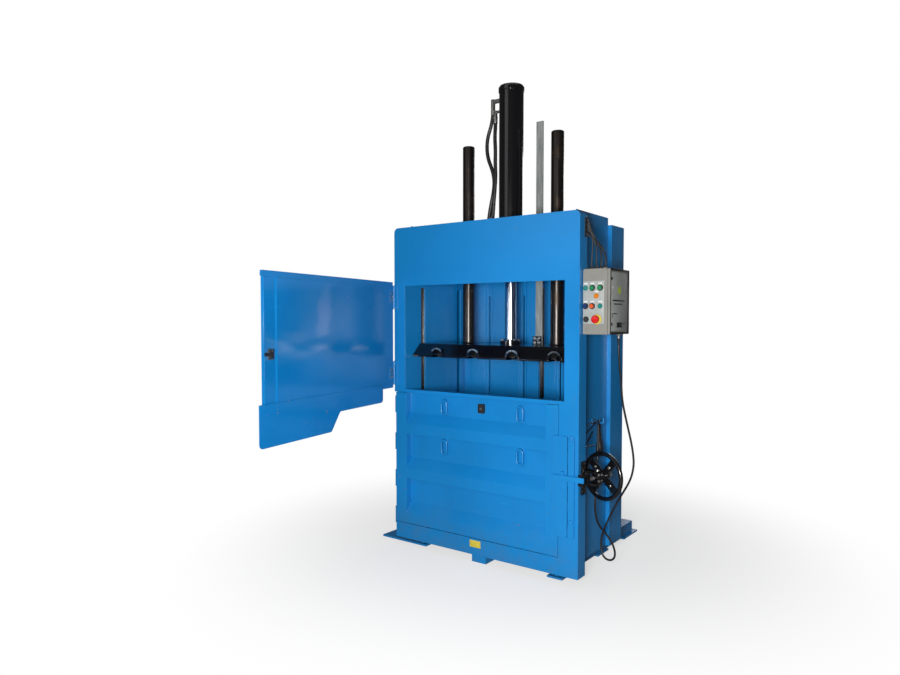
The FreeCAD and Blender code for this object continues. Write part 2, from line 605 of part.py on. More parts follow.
def bale_door():
    """The ribbed door, hinged at the left, with its tie hooks and lock bar."""
    t = S.door_sheet
    left, right = door_left + S.stile_left, door_right - S.stile_right
    line = rib_line(0, 0)
    inner = rib_line(t, t * 0.6)
    foot = S.door_bottom
    points = line + [(S.front + S.door_field, foot), (S.front + S.door_field + t, foot)] + inner[::-1]
    node(profile("YZ", points, left, right - left), "door_skin")
    stiles = []
    for low, width in ((door_left, S.stile_left), (right, S.stile_right)):
        height = S.door_top - S.door_bottom
        stiles.append(cut(box(low, S.front, S.door_bottom, width, S.door_depth, height),
                          box(low + t, S.front + t, S.door_bottom - 1, width - 2 * t,
                              S.door_depth - 2 * t, height + 2)))
    node(group(*stiles), "door_stiles")
    moving, fixed = [], []
    x, y = door_axis_x, S.front + S.door_axis_in
    end = S.knuckle_length / 4
    for i in range(4):
        z = S.knuckle_bottom + i * S.knuckle_pitch
        middle = S.knuckle_length / 2 - 1
        bore = S.knuckle_pin + S.running_fit
        moving.append(cut(join(rod(x, y, z + end + 0.5, S.knuckle_radius, middle),
                               box(x, y - 6, z + end + 0.5, door_left - x, 12, middle)),
                          rod(x, y, z, bore, S.knuckle_length)))
        strap = S.door_depth + 60 - S.door_axis_in
        lugs = [join(rod(x, y, level, S.knuckle_radius, end - 0.5), box(x - 8, y, level, 12, strap, end - 0.5))
                for level in (z, z + S.knuckle_length - end + 0.5)]
        fixed.append(join(rod(x, y, z, S.knuckle_pin, S.knuckle_length), *lugs))
    node(group(*moving), "door_knuckles")
    node(group(*fixed), "door_hinge_lugs")
    hooks = []
    r = S.hook_wire
    field = S.front + S.door_field
    for i, (side, drop) in enumerate(((-1, 0), (1, 0), (-1, 1), (1, 1))):
        cx = side * S.hook_x
        cz = S.hook_z - drop * S.hook_drop
        w, tall = S.hook_width / 2, S.hook_height / 2
        y0 = field - S.hook_out
        bars = [rod(cx + s * w, y0, cz - tall, r, 2 * tall) for s in (-1, 1)]
        rungs = [rod(cx - w, y0, cz + s * tall, r, 2 * w, "X") for s in (-1, 1)]
        balls = []
        for s, k in ((-1, -1), (-1, 1), (1, -1), (1, 1)):
            ball = doc.addObject("Part::Sphere", "Corner")
            bind(ball, "Radius", r)
            place(ball, cx + s * w, y0, cz + k * tall)
            balls.append(ball)
        feet = [rod(cx, y0, cz + s * (tall - 2), r - 1, field - y0, "Y") for s in (-1, 1)]
        plate = box(cx - S.hook_plate / 2, field - 5, cz - tall - 8, S.hook_plate, 5, 2 * tall + 16)
        hooks.append(join(plate, *bars, *rungs, *balls, *feet))
    node(group(*hooks), "tie_hooks")
    pad = profile("XZ", rectangle(-S.pad_width / 2, S.pad_z - S.pad_height / 2, S.pad_width / 2,
                                  S.pad_z + S.pad_height / 2), field - 22, 22)
    node(soften(pad, 4, lambda at, way: abs(way.y) > 0.9), "rubber_buffer")
    plate = profile("XZ", rectangle(lock_plate_left, S.lock_plate_bottom, lock_plate_right,
                                    S.lock_plate_top), S.front - S.lock_plate, S.lock_plate)
    soften(plate, 8, lambda at, way: abs(way.y) > 0.9)
    bar_y = S.front - S.lock_plate - S.lock_bar
    bar_low, bar_high = S.lock_z - S.lock_bar_height / 2, S.lock_z + S.lock_bar_height / 2
    bar = box(lock_plate_left + 12, bar_y, bar_low, half + S.lock_bar_reach - lock_plate_left - 12,
              S.lock_bar, S.lock_bar_height)
    catch = box(lock_plate_right - 36, bar_y, bar_high, 18, S.lock_bar, 22)
    node(group(plate, bar, catch), "door_lock_plate")
    keeper_x = lock_plate_right + S.keeper_gap
    keeper = profile("XZ", rectangle(keeper_x, S.lock_plate_bottom, keeper_x + S.keeper, S.lock_plate_top),
                     S.front - S.lock_plate + 2, S.lock_plate - 2)
    node(soften(keeper, 6, lambda at, way: abs(way.y) > 0.9), "post_keeper_bar")


def wheel_clamp():
    """The hand wheel, its fork and spindle, in clamp coordinates with +Z towards the rear."""
    y = S.front + S.clamp_in
    angle = S.clamp_turn

    def seat(piece, label):
        # first the spindle's axis lies along +Y, then the clamp turns about the vertical
        tilt = FreeCAD.Rotation(V(1, 0, 0), -90)
        turn = FreeCAD.Rotation(V(0, 0, 1), -angle.value)
        piece.Placement = FreeCAD.Placement(V(0, 0, 0), turn * tilt)
        place(piece, clamp_x, y, S.lock_z)
        return node(piece, label)

    h, b = S.clamp_block_height / 2, S.clamp_block / 2
    bore = S.spindle + S.running_fit
    seat(cut(box(-b, -h, -b, 2 * b, 2 * h, 2 * b), rod(0, 0, -b - 1, bore, 2 * b + 2),
             rod(0, -h - 1, 0, S.pivot_pin + S.running_fit, 15, "Y"),
             rod(0, h - 14, 0, S.pivot_pin + S.running_fit, 15, "Y")), "clamp_block")
    gap, tine, length = S.fork_gap / 2, S.fork_tine, S.fork_length
    base = -(S.clamp_block / 2 + 75)
    tines = [box(-14, s * gap - (tine if s < 0 else Dim.of(0)), base - length, 28, tine, length)
             for s in (-1, 1)]
    foot = box(-14, -gap - tine, base, 28, 2 * gap + 2 * tine, 18)
    screw = rod(0, 0, base + 18, S.spindle, S.spindle_rear - base - 18)
    seat(group(screw, foot, *tines), "fork_spindle")
    hub_low = S.clamp_block / 2 + 1
    rim_z = hub_low + 26
    rim = doc.addObject("Part::Torus", "Rim")
    bind(rim, "Radius1", S.wheel_radius - S.wheel_rim)
    bind(rim, "Radius2", S.wheel_rim)
    place(rim, 0, 0, rim_z)
    count = int(S.wheel_spokes.value)
    spokes = []
    for i in range(count):
        spoke = profile("XY", rectangle(S.spindle + 8, -S.wheel_spoke / 2, S.wheel_radius - S.wheel_rim,
                                        S.wheel_spoke / 2), rim_z - 5, 10)
        place(spoke, 0, 0, 0, (0, 0, 1), 360.0 * i / count + S.wheel_turned.value)
        spokes.append(spoke)
    wheel = cut(join(rod(0, 0, hub_low, S.wheel_hub, S.wheel_hub_length), rim, *spokes),
                rod(0, 0, hub_low - 1, bore, S.wheel_hub_length + 2))
    seat(wheel, "hand_wheel")
    ear, plate_x = S.ear_thick, half + S.bracket_plate
    y0, y1 = S.front + S.bracket_front, S.front + S.bracket_front + S.bracket_depth
    plate = box(half, y0, S.lock_z - S.bracket_half, S.bracket_plate, y1 - y0, 2 * S.bracket_half)
    web = box(half, y1, S.lock_z - h - ear, S.bracket_plate, S.front + S.ear_rear - y1,
              S.clamp_block_height + 2 * ear)
    ears = []
    for s in (-1, 1):
        z = S.lock_z + h + 0.3 if s > 0 else S.lock_z - h - 0.3 - ear
        pin_z = z - S.pivot_reach if s > 0 else z + ear
        ears += [box(plate_x, S.front + S.ear_front, z, clamp_x - plate_x + 18,
                     S.ear_rear - S.ear_front, ear),
                 rod(clamp_x, y, pin_z, S.pivot_pin, S.pivot_reach)]
    node(group(plate, web, *ears), "clamp_bracket")


BUTTONS = (
    # name, distance from the box's left edge, height above its foot
    ("button_platen_up", 62, 272), ("button_platen_down", 112, 272), ("button_start", 20, 166),
    ("button_stop", 62, 166),
)
LAMPS = ((20, 272), (88, 225), (112, 166))


def control_box():
    """The switch box on the right side, with its door, buttons and glands."""
    x0, y0, z0 = box_x, S.front + S.box_front, S.box_bottom
    w, d, h, t = S.box_width, S.box_depth, S.box_height, S.box_sheet
    shell = profile("XY", rectangle(x0, y0, x0 + w, y0 + d), z0, h)
    soften(shell, 6, lambda at, way: abs(way.z) > 0.9 and at.x < x0.value + 1)
    shell = cut(shell, box(x0 + t, y0 + t, z0 + t, w, d - 2 * t, h - 2 * t))
    gear = [box(x0 + t + 4, y0 + 75 + 45 * i, z0 + 180, 70, 38, 84) for i in range(3)]
    node(join(box(x0 + t, y0 + 60, z0 + 40, 4, d - 120, h - 80), *gear), "switchgear")
    bracket = box(half, y0 + 20, z0 + 60, x0 - half, 26, 260)
    door_x = x0 + w + 1
    door = profile("YZ", rectangle(y0, z0, y0 + d, z0 + h), door_x, S.box_door)
    soften(door, 7, lambda at, way: abs(way.x) > 0.9)
    axis_x, axis_y = door_x + S.box_door / 2, y0 + d + 6
    pins, leaves = [], []
    for z in (z0 + 50, z0 + h - 90):
        leaves.append(cut(join(rod(axis_x, axis_y, z, 5, 40),
                               box(axis_x - 2, y0 + d - 1, z, 4, 7, 40)),
                          rod(axis_x, axis_y, z - 1, 2.55, 42)))
        arms = [join(rod(axis_x, axis_y, level, 5, 8),
                     box(x0 + w - 30, axis_y - 5, level, axis_x - x0 - w + 30, 3, 8),
                     box(x0 + w - 30, axis_y - 6, level, 29, 4, 8))
                for level in (z - 8.5, z + 40.5)]
        pins.append(join(rod(axis_x, axis_y, z - 8, 2.5, 56), *arms))
    node(join(door, *leaves), "control_box_door")
    node(join(shell, bracket, *pins), "control_box_shell")
    bezels = []
    for name, across, up in BUTTONS:
        cx, cz = x0 + across, z0 + up
        button = turned([(0, 6), (S.button, 6), (S.button, S.button_out - 2),
                         (S.button - 2, S.button_out), (0, S.button_out)],
                        cx, y0, cz, (1, 0, 0), 90)
        node(button, name)
        bezels.append(turned([(S.button + S.button_clearance, 0), (S.button + 5, 0),
                              (S.button + 5, 6), (S.button + 3, 9),
                              (S.button + S.button_clearance, 9)], cx, y0, cz, (1, 0, 0), 90))
    stop_x, stop_z = x0 + 92, z0 + 88
    r = S.lever_button
    node(turned([(0, 7), (11, 7), (11, 16), (r - 4, 18), (r, 24), (r - 1, 31), (r - 7, 36), (0, 38)],
                stop_x, y0, stop_z, (1, 0, 0), 90), "emergency_stop")
    bezels.append(turned([(11 + S.button_clearance, 0), (30, 0), (30, 2.5), (17, 2.5), (16, 9),
                          (11 + S.button_clearance, 9)], stop_x, y0, stop_z, (1, 0, 0), 90))
    turn_x, turn_z = x0 + 24, z0 + 88
    knob = turned([(0, 2), (12, 2), (12, 13), (0, 13)], turn_x, y0, turn_z, (1, 0, 0), 90)
    node(join(knob, box(turn_x - 4, y0 - 25, turn_z - 13, 8, 13, 26)), "selector_switch")
    bezels.append(turned([(12 + S.button_clearance, 0), (17, 0), (17, 6), (15, 9),
                          (12 + S.button_clearance, 9)], turn_x, y0, turn_z, (1, 0, 0), 90))
    node(group(*bezels), "button_bezels")
    lamps = [turned([(0, 0), (15, 0), (15, 5), (11, 8), (10, 16), (6, 20), (0, 21)],
                    x0 + across, y0, z0 + up, (1, 0, 0), 90) for across, up in LAMPS]
    node(group(*lamps), "signal_lamps")
    glands = [turned([(0, 0), (11, 0), (11, 9), (8, 14), (7, 22), (0, 22)], x0 + 28 + 30 * i,
                     y0 + 60, z0 + h) for i in range(4)]
    outlet = box(half, S.front + 60, 2090, 4.6, 24, 118)
    node(group(outlet, *glands), "cable_glands")
    node(turned([(0, 0), (14, 0), (14, -9), (10, -16), (8.5, -27), (0, -27)], x0 + 128, y0 + 236,
                z0), "cord_gland")


def power_pack():
    """Tank, motor and pump behind the header, with the valve block on the crosshead."""
    y0 = S.front + S.return_depth + 1
    y1 = ram_y - S.beam_gap - S.beam_flange
    z0 = plate_top
    node(box(-inside, y0, z0 - S.shelf_plate, S.shelf_length, y1 - y0, S.shelf_plate), "pack_shelf")
    depth = y1 - y0 - 2 * S.tank_gap
    left, right = S.tank_in - inside, S.tank_in + S.tank_length - inside
    middle = y0 + S.tank_gap + depth / 2
    tank = profile("XY", rectangle(left, y0 + S.tank_gap, right, y1 - S.tank_gap), z0, S.tank_height)
    node(soften(tank, 10, lambda at, way: abs(way.z) > 0.9), "oil_tank")
    node(turned([(0, 0), (24, 0), (24, 12), (20, 26), (0, 28)], left + 50, y0 + 60, z0 + S.tank_height),
         "filler_cap")
    pump = turned([(0, 0), (38, 0), (38, 42), (52, 42), (52, 54), (0, 54)], right,
                  middle, z0 + S.pump_up, (0, 1, 0), 90)
    motor_x = S.motor_out - inside
    motor = turned([(0, 0), (62, 0), (62, 16), (54, 20), (54, 140), (60, 144), (60, 176), (0, 180)],
                   motor_x, middle, z0 + S.pump_up, (0, 1, 0), 90)
    foot = box(motor_x + 30, middle - 40, z0, 100, 80, 30)
    node(join(motor, foot, pump), "pump_motor")
    tall = 110
    node(join(box(-225, ram_y - 50, plate_top, 116, 100, tall), rod(-203, ram_y, plate_top + tall, 14, 24),
              rod(-140, ram_y - 27, plate_top + tall, 14, 24)), "valve_block")
    elbow_z = S.barrel_top - S.elbow_down
    body = join(rod(-150, ram_y, elbow_z - 45, 15, 60),
                rod(-150, ram_y, elbow_z, 15, 150 - S.barrel_radius + 1, "X"))
    upper = cut(body, rod(0, ram_y, elbow_z - 60, S.barrel_radius, 120))
    low = join(rod(-112, ram_y - 27, elbow_z - 115, 13, 40),
               rod(-112, ram_y - 27, elbow_z - 85, 10, 60, "X"))
    node(group(upper, cut(low, rod(0, ram_y, elbow_z - 160, S.barrel_radius, 160))), "port_elbows")


def route_wire(points):
    """Straight runs joined by tangent arcs, and the smallest arc radius."""
    edges, radii = [], []
    start = points[0]
    for before, corner, after in zip(points, points[1:], points[2:]):
        into, out = corner - before, after - corner
        turn = into.getAngle(out)
        trim = 0.45 * min(into.Length, out.Length)
        radii.append(trim / math.tan(turn / 2))
        into.normalize()
        out.normalize()
        first, last = corner - into * trim, corner + out * trim
        bisector = (out - into).normalize()
        middle = corner + bisector * (radii[-1] / math.cos(turn / 2) - radii[-1])
        edges.append(Part.makeLine(start, first))
        edges.append(Part.Arc(first, middle, last).toShape())
        start = last
    edges.append(Part.makeLine(start, points[-1]))
    return Part.Wire(edges), min(radii)


def beside_frame(route):
    """A route laid against the frame's side, kept there when the frame's width changes."""
    return [(x + half.value - ROUTE_SIDE, y, z) for x, y, z in route]


def between(route, high):
    """A hose's route, its top at a height and its foot on the valve block."""
    low = plate_top.value + VALVE_PORT
    first, last = route[0][2], route[-1][2]
    return [(x, y, low + (z - last) * (high.value - low) / (first - last)) for x, y, z in route]


def tube(points, radius, label):
    """One cord or hose as a solid swept along its route."""
    points = [V(x, S.front.value + y, z) for x, y, z in points]
    wire, tightest = route_wire(points)
    circle = Part.Wire(Part.makeCircle(radius, points[0], points[1] - points[0]))
    solid = wire.makePipeShell([circle], True, False)
    ideal = math.pi * radius ** 2 * wire.Length
    print(label, "length %.0f" % wire.Length, "tightest bend radius %.0f" % tightest,
          "volume ratio %.4f" % (solid.Volume / ideal))
    return solid


# Routes as (x, depth behind the front, z). The frame's side is at ROUTE_SIDE there, and the
# hoses end VALVE_PORT above the crosshead's plate.
ROUTE_SIDE = 720
VALVE_PORT = 134
HOSE_UPPER = [(-150, 402, 3080), (-150, 402, 3030), (-166, 402, 2958), (-194, 402, 2890),
              (-203, 402, 2810), (-190, 402, 2730), (-155, 402, 2655), (-137, 402, 2575),
              (-146, 402, 2490), (-168, 402, 2405), (-183, 402, 2320), (-197, 402, 2235),
              (-203, 402, 2160), (-203, 402, 2094)]
HOSE_LOWER = [(-112, 375, 3010), (-112, 375, 2950), (-116, 372, 2870), (-110, 372, 2780),
              (-114, 375, 2690), (-108, 374, 2600), (-113, 371, 2510), (-122, 372, 2420),
              (-131, 374, 2330), (-139, 375, 2245), (-140, 375, 2165), (-140, 375, 2094)]
CONTROL_CABLES = [
    [(729.3, 78, 2196), (741, 84, 2150), (753, 93, 2100), (757, 98, 2045), (752, 96, 1990),
     (750, 95, 1945), (750, 95, 1921)],
    [(729.1, 72, 2168), (746, 80, 2128), (765, 91, 2080), (779, 97, 2028), (782, 97, 1975),
     (780, 95, 1940), (780, 95, 1921)],
    [(728.8, 78, 2140), (752, 88, 2104), (782, 96, 2062), (804, 99, 2012), (811, 97, 1962),
     (810, 95, 1936), (810, 95, 1921)],
    [(728.3, 72, 2112), (758, 84, 2082), (798, 93, 2046), (828, 98, 2002), (840, 96, 1956),
     (840, 95, 1934), (840, 95, 1921)]]
POWER_CORD = [(850, 271, 1488), (850, 271, 1420), (851, 283, 1340), (850, 305, 1258),
              (848, 326, 1178), (846, 345, 1100), (856, 366, 1010), (870, 386, 920),
              (886, 398, 835), (897, 406, 755), (900, 409, 684), (879, 409, 594), (819, 409, 490),
              (766, 410, 394), (712, 409, 273), (689, 409, 208), (683, 407, 159), (690, 403, 115),
              (702, 400, 81), (732, 394, 63), (767, 388, 68), (790, 383, 94), (794, 377, 130),
              (785, 370, 172), (763, 361, 215), (731, 346, 261), (714, 311, 300), (708, 280, 353),
              (706, 263, 423), (706, 263, 475), (706, 273, 561), (706, 284, 638), (706, 293, 712),
              (706, 299, 780), (706, 302, 840), (706, 304, 890), (706, 304, 936),
              (697.5, 328, 962), (685.5, 362, 962), (677, 386, 936), (677, 390, 906),
              (677, 390, 878)]


def cords():
    """Hoses, control cables, the power cord with its plug, and the hooks that hold it."""
    def feature(shape, label):
        piece = doc.addObject("Part::Feature", "Cord")
        piece.Shape = shape
        return node(piece, label)

    high = S.barrel_top - S.elbow_down - 45
    feature(tube(between(HOSE_UPPER, high), S.hose.value, "hose_upper"), "hose_upper")
    feature(tube(between(HOSE_LOWER, high - 70), S.hose.value, "hose_lower"), "hose_lower")
    cables = [tube(beside_frame(route), S.cable.value, "control_cable") for route in CONTROL_CABLES]
    feature(Part.makeCompound(cables), "control_cables")
    feature(tube(beside_frame(POWER_CORD), S.cord.value, "power_cord"), "power_cord")
    _, depth, z = POWER_CORD[-1]
    node(turned([(0, 0), (9, 0), (11, -34), (19, -62), (23, -92), (23, -138), (19, -150), (0, -150)],
                half - S.plug_in, S.front + depth, z), "power_plug")
    side, hook_y, reach = half - S.skin_set_in, S.front + S.peg_out, S.peg_length
    node(join(rod(side, hook_y, S.peg_z, S.peg, reach, "X"),
              rod(side + reach, hook_y, S.peg_z - 2, S.peg, 32),
              box(side, hook_y - 16, S.peg_z - 22, 5, 32, 44)), "cord_hook")


front_frame()
posts_and_walls()
back_wall()
base()
press()
platen()
feed_gate()
bale_door()
wheel_clamp()
control_box()
power_pack()
cords()
doc.recompute()

for thing in doc.Objects:
    if "Invalid" in thing.State or "Error" in thing.State:
        raise RuntimeError("failed object: %s (%s)" % (thing.Label, thing.Name))
for thing in NODES:
    if thing.Shape.isNull() or not thing.Shape.isValid():
        raise RuntimeError("bad shape: " + thing.Label)
    if not thing.Shape.Solids:
        raise RuntimeError("no solid: " + thing.Label)
for thing in NODES:
    thing.Shape.exportStep("parts/%s.step" % thing.Label)
print(len(NODES), "nodes written")
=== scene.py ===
import json
import math
import random

import bmesh
import bpy
from mathutils import Matrix, Vector


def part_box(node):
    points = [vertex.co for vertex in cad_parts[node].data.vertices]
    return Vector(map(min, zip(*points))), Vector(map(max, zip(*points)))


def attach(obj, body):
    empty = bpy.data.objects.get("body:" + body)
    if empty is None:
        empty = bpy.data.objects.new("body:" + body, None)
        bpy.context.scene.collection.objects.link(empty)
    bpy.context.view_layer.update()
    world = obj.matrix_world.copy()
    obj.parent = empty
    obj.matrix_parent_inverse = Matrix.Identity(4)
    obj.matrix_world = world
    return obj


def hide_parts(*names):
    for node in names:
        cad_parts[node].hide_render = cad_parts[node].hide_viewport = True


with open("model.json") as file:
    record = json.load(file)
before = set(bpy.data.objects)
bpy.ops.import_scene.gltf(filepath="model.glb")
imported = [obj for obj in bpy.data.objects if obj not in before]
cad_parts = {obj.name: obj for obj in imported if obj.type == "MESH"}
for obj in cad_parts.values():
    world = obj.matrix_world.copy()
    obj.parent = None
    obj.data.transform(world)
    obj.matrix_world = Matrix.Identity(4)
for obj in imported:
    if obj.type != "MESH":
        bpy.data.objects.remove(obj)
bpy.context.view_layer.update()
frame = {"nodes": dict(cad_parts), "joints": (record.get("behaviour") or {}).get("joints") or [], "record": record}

MM = 0.001
FRONT = round(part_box("front_frame")[0].y, 4)       # plane of the front frame's face, in metres
rng = random.Random(24)


# ------------------------------------------------------------------ shader maths
class Val:
    """A socket that takes part in arithmetic; each operation adds one Math node."""

    def __init__(self, owner, socket):
        self.owner, self.socket = owner, socket

    def math(self, operation, *others):
        inputs = dict(enumerate((self, *others)))
        return self.owner.node("ShaderNodeMath", {"operation": operation}, inputs)

    def __add__(self, other):
        return self.math("ADD", other)

    def __mul__(self, other):
        return self.math("MULTIPLY", other)

    def __rsub__(self, other):
        return self.owner.node("ShaderNodeMath", {"operation": "SUBTRACT"}, {0: other, 1: self})

    __radd__ = __add__
    __rmul__ = __mul__

    def step(self, low, high):
        """0 below low, 1 above high, smooth between."""
        return self.owner.node("ShaderNodeMapRange", {"interpolation_type": "SMOOTHSTEP"},
                               {"Value": self, "From Min": low, "From Max": high})


class Tree:
    """The nodes of a finish or of the air; one method makes every node."""

    def __init__(self, tree):
        self.tree = tree

    def feed(self, socket, value):
        if isinstance(value, Val):
            self.tree.links.new(value.socket, socket)
        elif isinstance(value, tuple) and len(value) == 3 and socket.type == "RGBA":
            socket.default_value = (*value, 1.0)
        else:
            socket.default_value = value

    def node(self, kind, settings=None, inputs=None, out=0):
        node = self.tree.nodes.new(kind)
        for name, value in (settings or {}).items():
            setattr(node, name, value)
        for name, value in (inputs or {}).items():
            self.feed(node.inputs[name], value)
        return Val(self, node.outputs[out])

    def rays(self, kind):
        """1 on light paths of one kind, else 0."""
        return self.node("ShaderNodeLightPath", out="Is %s Ray" % kind)

    def seen(self):
        """1 on what the camera sees, itself or through glass, else 0."""
        return self.rays("Camera").math("MAXIMUM", self.rays("Transmission"))


MIX_FACTOR, MIX_FIRST, MIX_SECOND, MIX_RESULT = 0, 6, 7, 2     # a Mix node's colour sockets


class Finish(Tree):
    """One material, built on its Principled shader."""

    def __init__(self, name, colour, roughness, metallic=0.0, coat=0.0, coat_roughness=0.1):
        self.material = bpy.data.materials.new(name)
        self.material.use_nodes = True
        super().__init__(self.material.node_tree)
        self.shader = self.tree.nodes["Principled BSDF"]
        self.set("Base Color", colour)
        self.set("Roughness", roughness)
        self.set("Metallic", metallic)
        self.set("Coat Weight", coat)
        self.set("Coat Roughness", coat_roughness)
        self.place = self.node("ShaderNodeTexCoord", out="Object")
        self.normal = None

    def set(self, name, value):
        self.feed(self.shader.inputs[name], value)

    def stretched(self, scale):
        """The object's coordinates, stretched so that a pattern runs along an axis."""
        return self.node("ShaderNodeMapping", {}, {"Vector": self.place, "Scale": scale})

    def noise(self, scale, detail, rough=0.5, where=None):
        return self.node("ShaderNodeTexNoise", {},
                         {"Vector": where or self.place, "Scale": scale, "Detail": detail,
                          "Roughness": rough})

    def streaks(self, stretch, detail, rough=0.5):
        """Noise drawn out along the axis whose stretch is the smallest."""
        return self.noise(1.0, detail, rough, self.stretched(stretch))

    def axis(self, letter):
        return self.node("ShaderNodeSeparateXYZ", {}, {"Vector": self.place}, out=letter)

    def mix(self, factor, first, second):
        return self.node("ShaderNodeMix", {"data_type": "RGBA"},
                         {MIX_FACTOR: factor, MIX_FIRST: first, MIX_SECOND: second}, MIX_RESULT)

    def bump(self, height, depth, strength):
        inputs = {"Height": height, "Distance": depth, "Strength": strength}
        if self.normal is not None:
            inputs["Normal"] = self.normal
        self.normal = self.node("ShaderNodeBump", {}, inputs)
        self.set("Normal", self.normal)

    def soft_edges(self, radius):
        """Corners catch the light as if they were rounded."""
        self.normal = self.node("ShaderNodeBevel", {"samples": 4}, {"Radius": radius})
        self.set("Normal", self.normal)


def tone(colour, factor):
    return tuple(min(1.0, c * factor) for c in colour)


# ------------------------------------------------------------------ finishes
BLUE = (0.005, 0.205, 0.530)
GATE_BLUE = (0.004, 0.185, 0.500)
FLOOR_DUST = (0.10, 0.12, 0.13)
UNDERCOAT = (0.16, 0.13, 0.11)
OIL_STAIN = (0.06, 0.035, 0.02)
CHROME = (0.78, 0.79, 0.81)
OIL_FILM = (0.34, 0.33, 0.31)
RUBBED_DARK, RUBBED_PALE = (0.19, 0.21, 0.20), (0.30, 0.32, 0.31)
RUST = (0.13, 0.07, 0.035)
DUST_TOP = 0.42                     # floor dust fades out at this height, in metres


def gloss_paint(name, colour, chips=0.0, dust=0.0, roughness=0.30, coat=0.06, runs=1.0):
    """Sprayed gloss enamel: slight cloudiness, orange peel, run marks, scuffs and floor dust."""
    f = Finish(name, colour, roughness, coat=coat)
    f.soft_edges(0.0025)
    cloud = f.noise(1.7, 4.0).step(0.3, 0.7)
    base = f.mix(cloud, tone(colour, 0.93), tone(colour, 1.06))
    run = f.streaks((14.0, 14.0, 0.9), 5.0, 0.6)
    base = f.mix(run.step(0.52, 0.75) * (0.18 * runs), base, tone(colour, 0.72))
    low = 1.0 - f.axis("Z").step(0.02, DUST_TOP)
    grime = low * f.noise(9.0, 6.0, 0.65).step(0.35, 0.7) * dust
    base = f.mix(grime, base, FLOOR_DUST)
    scuffs = f.streaks((3.0, 3.0, 60.0), 3.0).step(0.66, 0.72)
    scuffs = scuffs * f.noise(2.3, 2.0).step(0.55, 0.65) * 0.35
    base = f.mix(scuffs, base, tone(colour, 1.5))
    rough = run.step(0.35, 0.75) * (0.10 * runs) + grime * 0.35 + scuffs * 0.3 + roughness
    if chips > 0.0:
        flecks = f.noise(46.0, 2.0, 0.4).step(0.74, 0.755)
        chipped = flecks * f.noise(3.1, 2.0).step(0.5, 0.62) * chips
        base = f.mix(chipped, base, UNDERCOAT)
        rough = rough + chipped * 0.3
    f.set("Base Color", base)
    f.set("Roughness", rough)
    f.bump(f.noise(260.0, 2.0), 0.0002, 0.35)
    f.bump(f.noise(4.0, 2.0), 0.004, 0.25)
    return f.material


def oiled_steel(name, colour, roughness):
    """Drawn or turned steel with an oil film: streaks along the piece and brown stains."""
    f = Finish(name, colour, roughness, metallic=0.85)
    f.soft_edges(0.0012)
    streak = f.streaks((30.0, 30.0, 1.2), 6.0, 0.6)
    stains = f.noise(7.0, 5.0, 0.6).step(0.5, 0.72)
    base = f.mix(streak.step(0.3, 0.7), tone(colour, 0.65), tone(colour, 1.25))
    f.set("Base Color", f.mix(stains * 0.6, base, OIL_STAIN))
    f.set("Roughness", streak * 0.25 + stains * 0.18 + (roughness - 0.12))
    f.bump(f.noise(90.0, 3.0, 0.5, f.stretched((1.0, 1.0, 0.05))), 0.0002, 0.4)
    return f.material


def worn_metal(name, colour, roughness):
    """Machined or cast metal with fine scratches and dull patches."""
    f = Finish(name, colour, roughness, metallic=1.0)
    f.soft_edges(0.0008)
    patch = f.noise(16.0, 4.0, 0.6).step(0.35, 0.7)
    f.set("Base Color", f.mix(patch, tone(colour, 0.72), colour))
    f.set("Roughness", patch * 0.16 + roughness)
    f.bump(f.noise(420.0, 2.0), 0.00012, 0.4)
    return f.material


def chrome(name):
    """Hard chrome with streaks of oil along it."""
    f = Finish(name, CHROME, 0.16, metallic=1.0)
    film = f.streaks((24.0, 24.0, 2.0), 4.0).step(0.45, 0.8)
    f.set("Base Color", f.mix(film * 0.5, CHROME, OIL_FILM))
    f.set("Roughness", film * 0.14 + 0.15)
    return f.material


def weathered_bar(name):
    """Primed flat bar with rubbed grey paint and rust freckles."""
    f = Finish(name, RUBBED_DARK, 0.6)
    f.soft_edges(0.001)
    rub = f.streaks((60.0, 60.0, 5.0), 6.0, 0.65).step(0.42, 0.62)
    rust = f.noise(38.0, 5.0, 0.7).step(0.62, 0.74)
    base = f.mix(rub, RUBBED_DARK, RUBBED_PALE)
    f.set("Base Color", f.mix(rust * 0.7, base, RUST))
    f.set("Roughness", rub * -0.15 + rust * 0.2 + 0.58)
    f.bump(rub, 0.0003, 0.4)
    return f.material


def moulded(name, colour, roughness, coat=0.0):
    """Moulded plastic or rubber with a fine grain and faint finger marks."""
    f = Finish(name, colour, roughness, coat=coat)
    f.soft_edges(0.0006)
    smear = f.noise(30.0, 3.0).step(0.4, 0.75)
    f.set("Base Color", f.mix(smear * 0.4, colour, tone(colour, 1.35)))
    f.set("Roughness", smear * 0.14 + roughness)
    f.bump(f.noise(700.0, 2.0), 0.0001, 0.5)
    return f.material


def lens(name, colour):
    """A lamp's ribbed coloured lens."""
    f = Finish(name, colour, 0.16, coat=0.6, coat_roughness=0.05)
    ribs = f.noise(900.0, 1.0)
    f.set("Base Color", f.mix(ribs, tone(colour, 0.7), tone(colour, 1.25)))
    f.bump(ribs, 0.0002, 0.4)
    return f.material


def box_enamel(name, colour):
    """Textured switch box paint with smudges."""
    f = Finish(name, colour, 0.42, coat=0.15)
    f.soft_edges(0.0015)
    smudge = f.noise(11.0, 5.0, 0.6).step(0.45, 0.75)
    f.set("Base Color", f.mix(smudge * 0.5, colour, tone(colour, 0.78)))
    f.set("Roughness", smudge * 0.12 + 0.38)
    f.bump(f.noise(520.0, 2.0), 0.0002, 0.5)
    return f.material


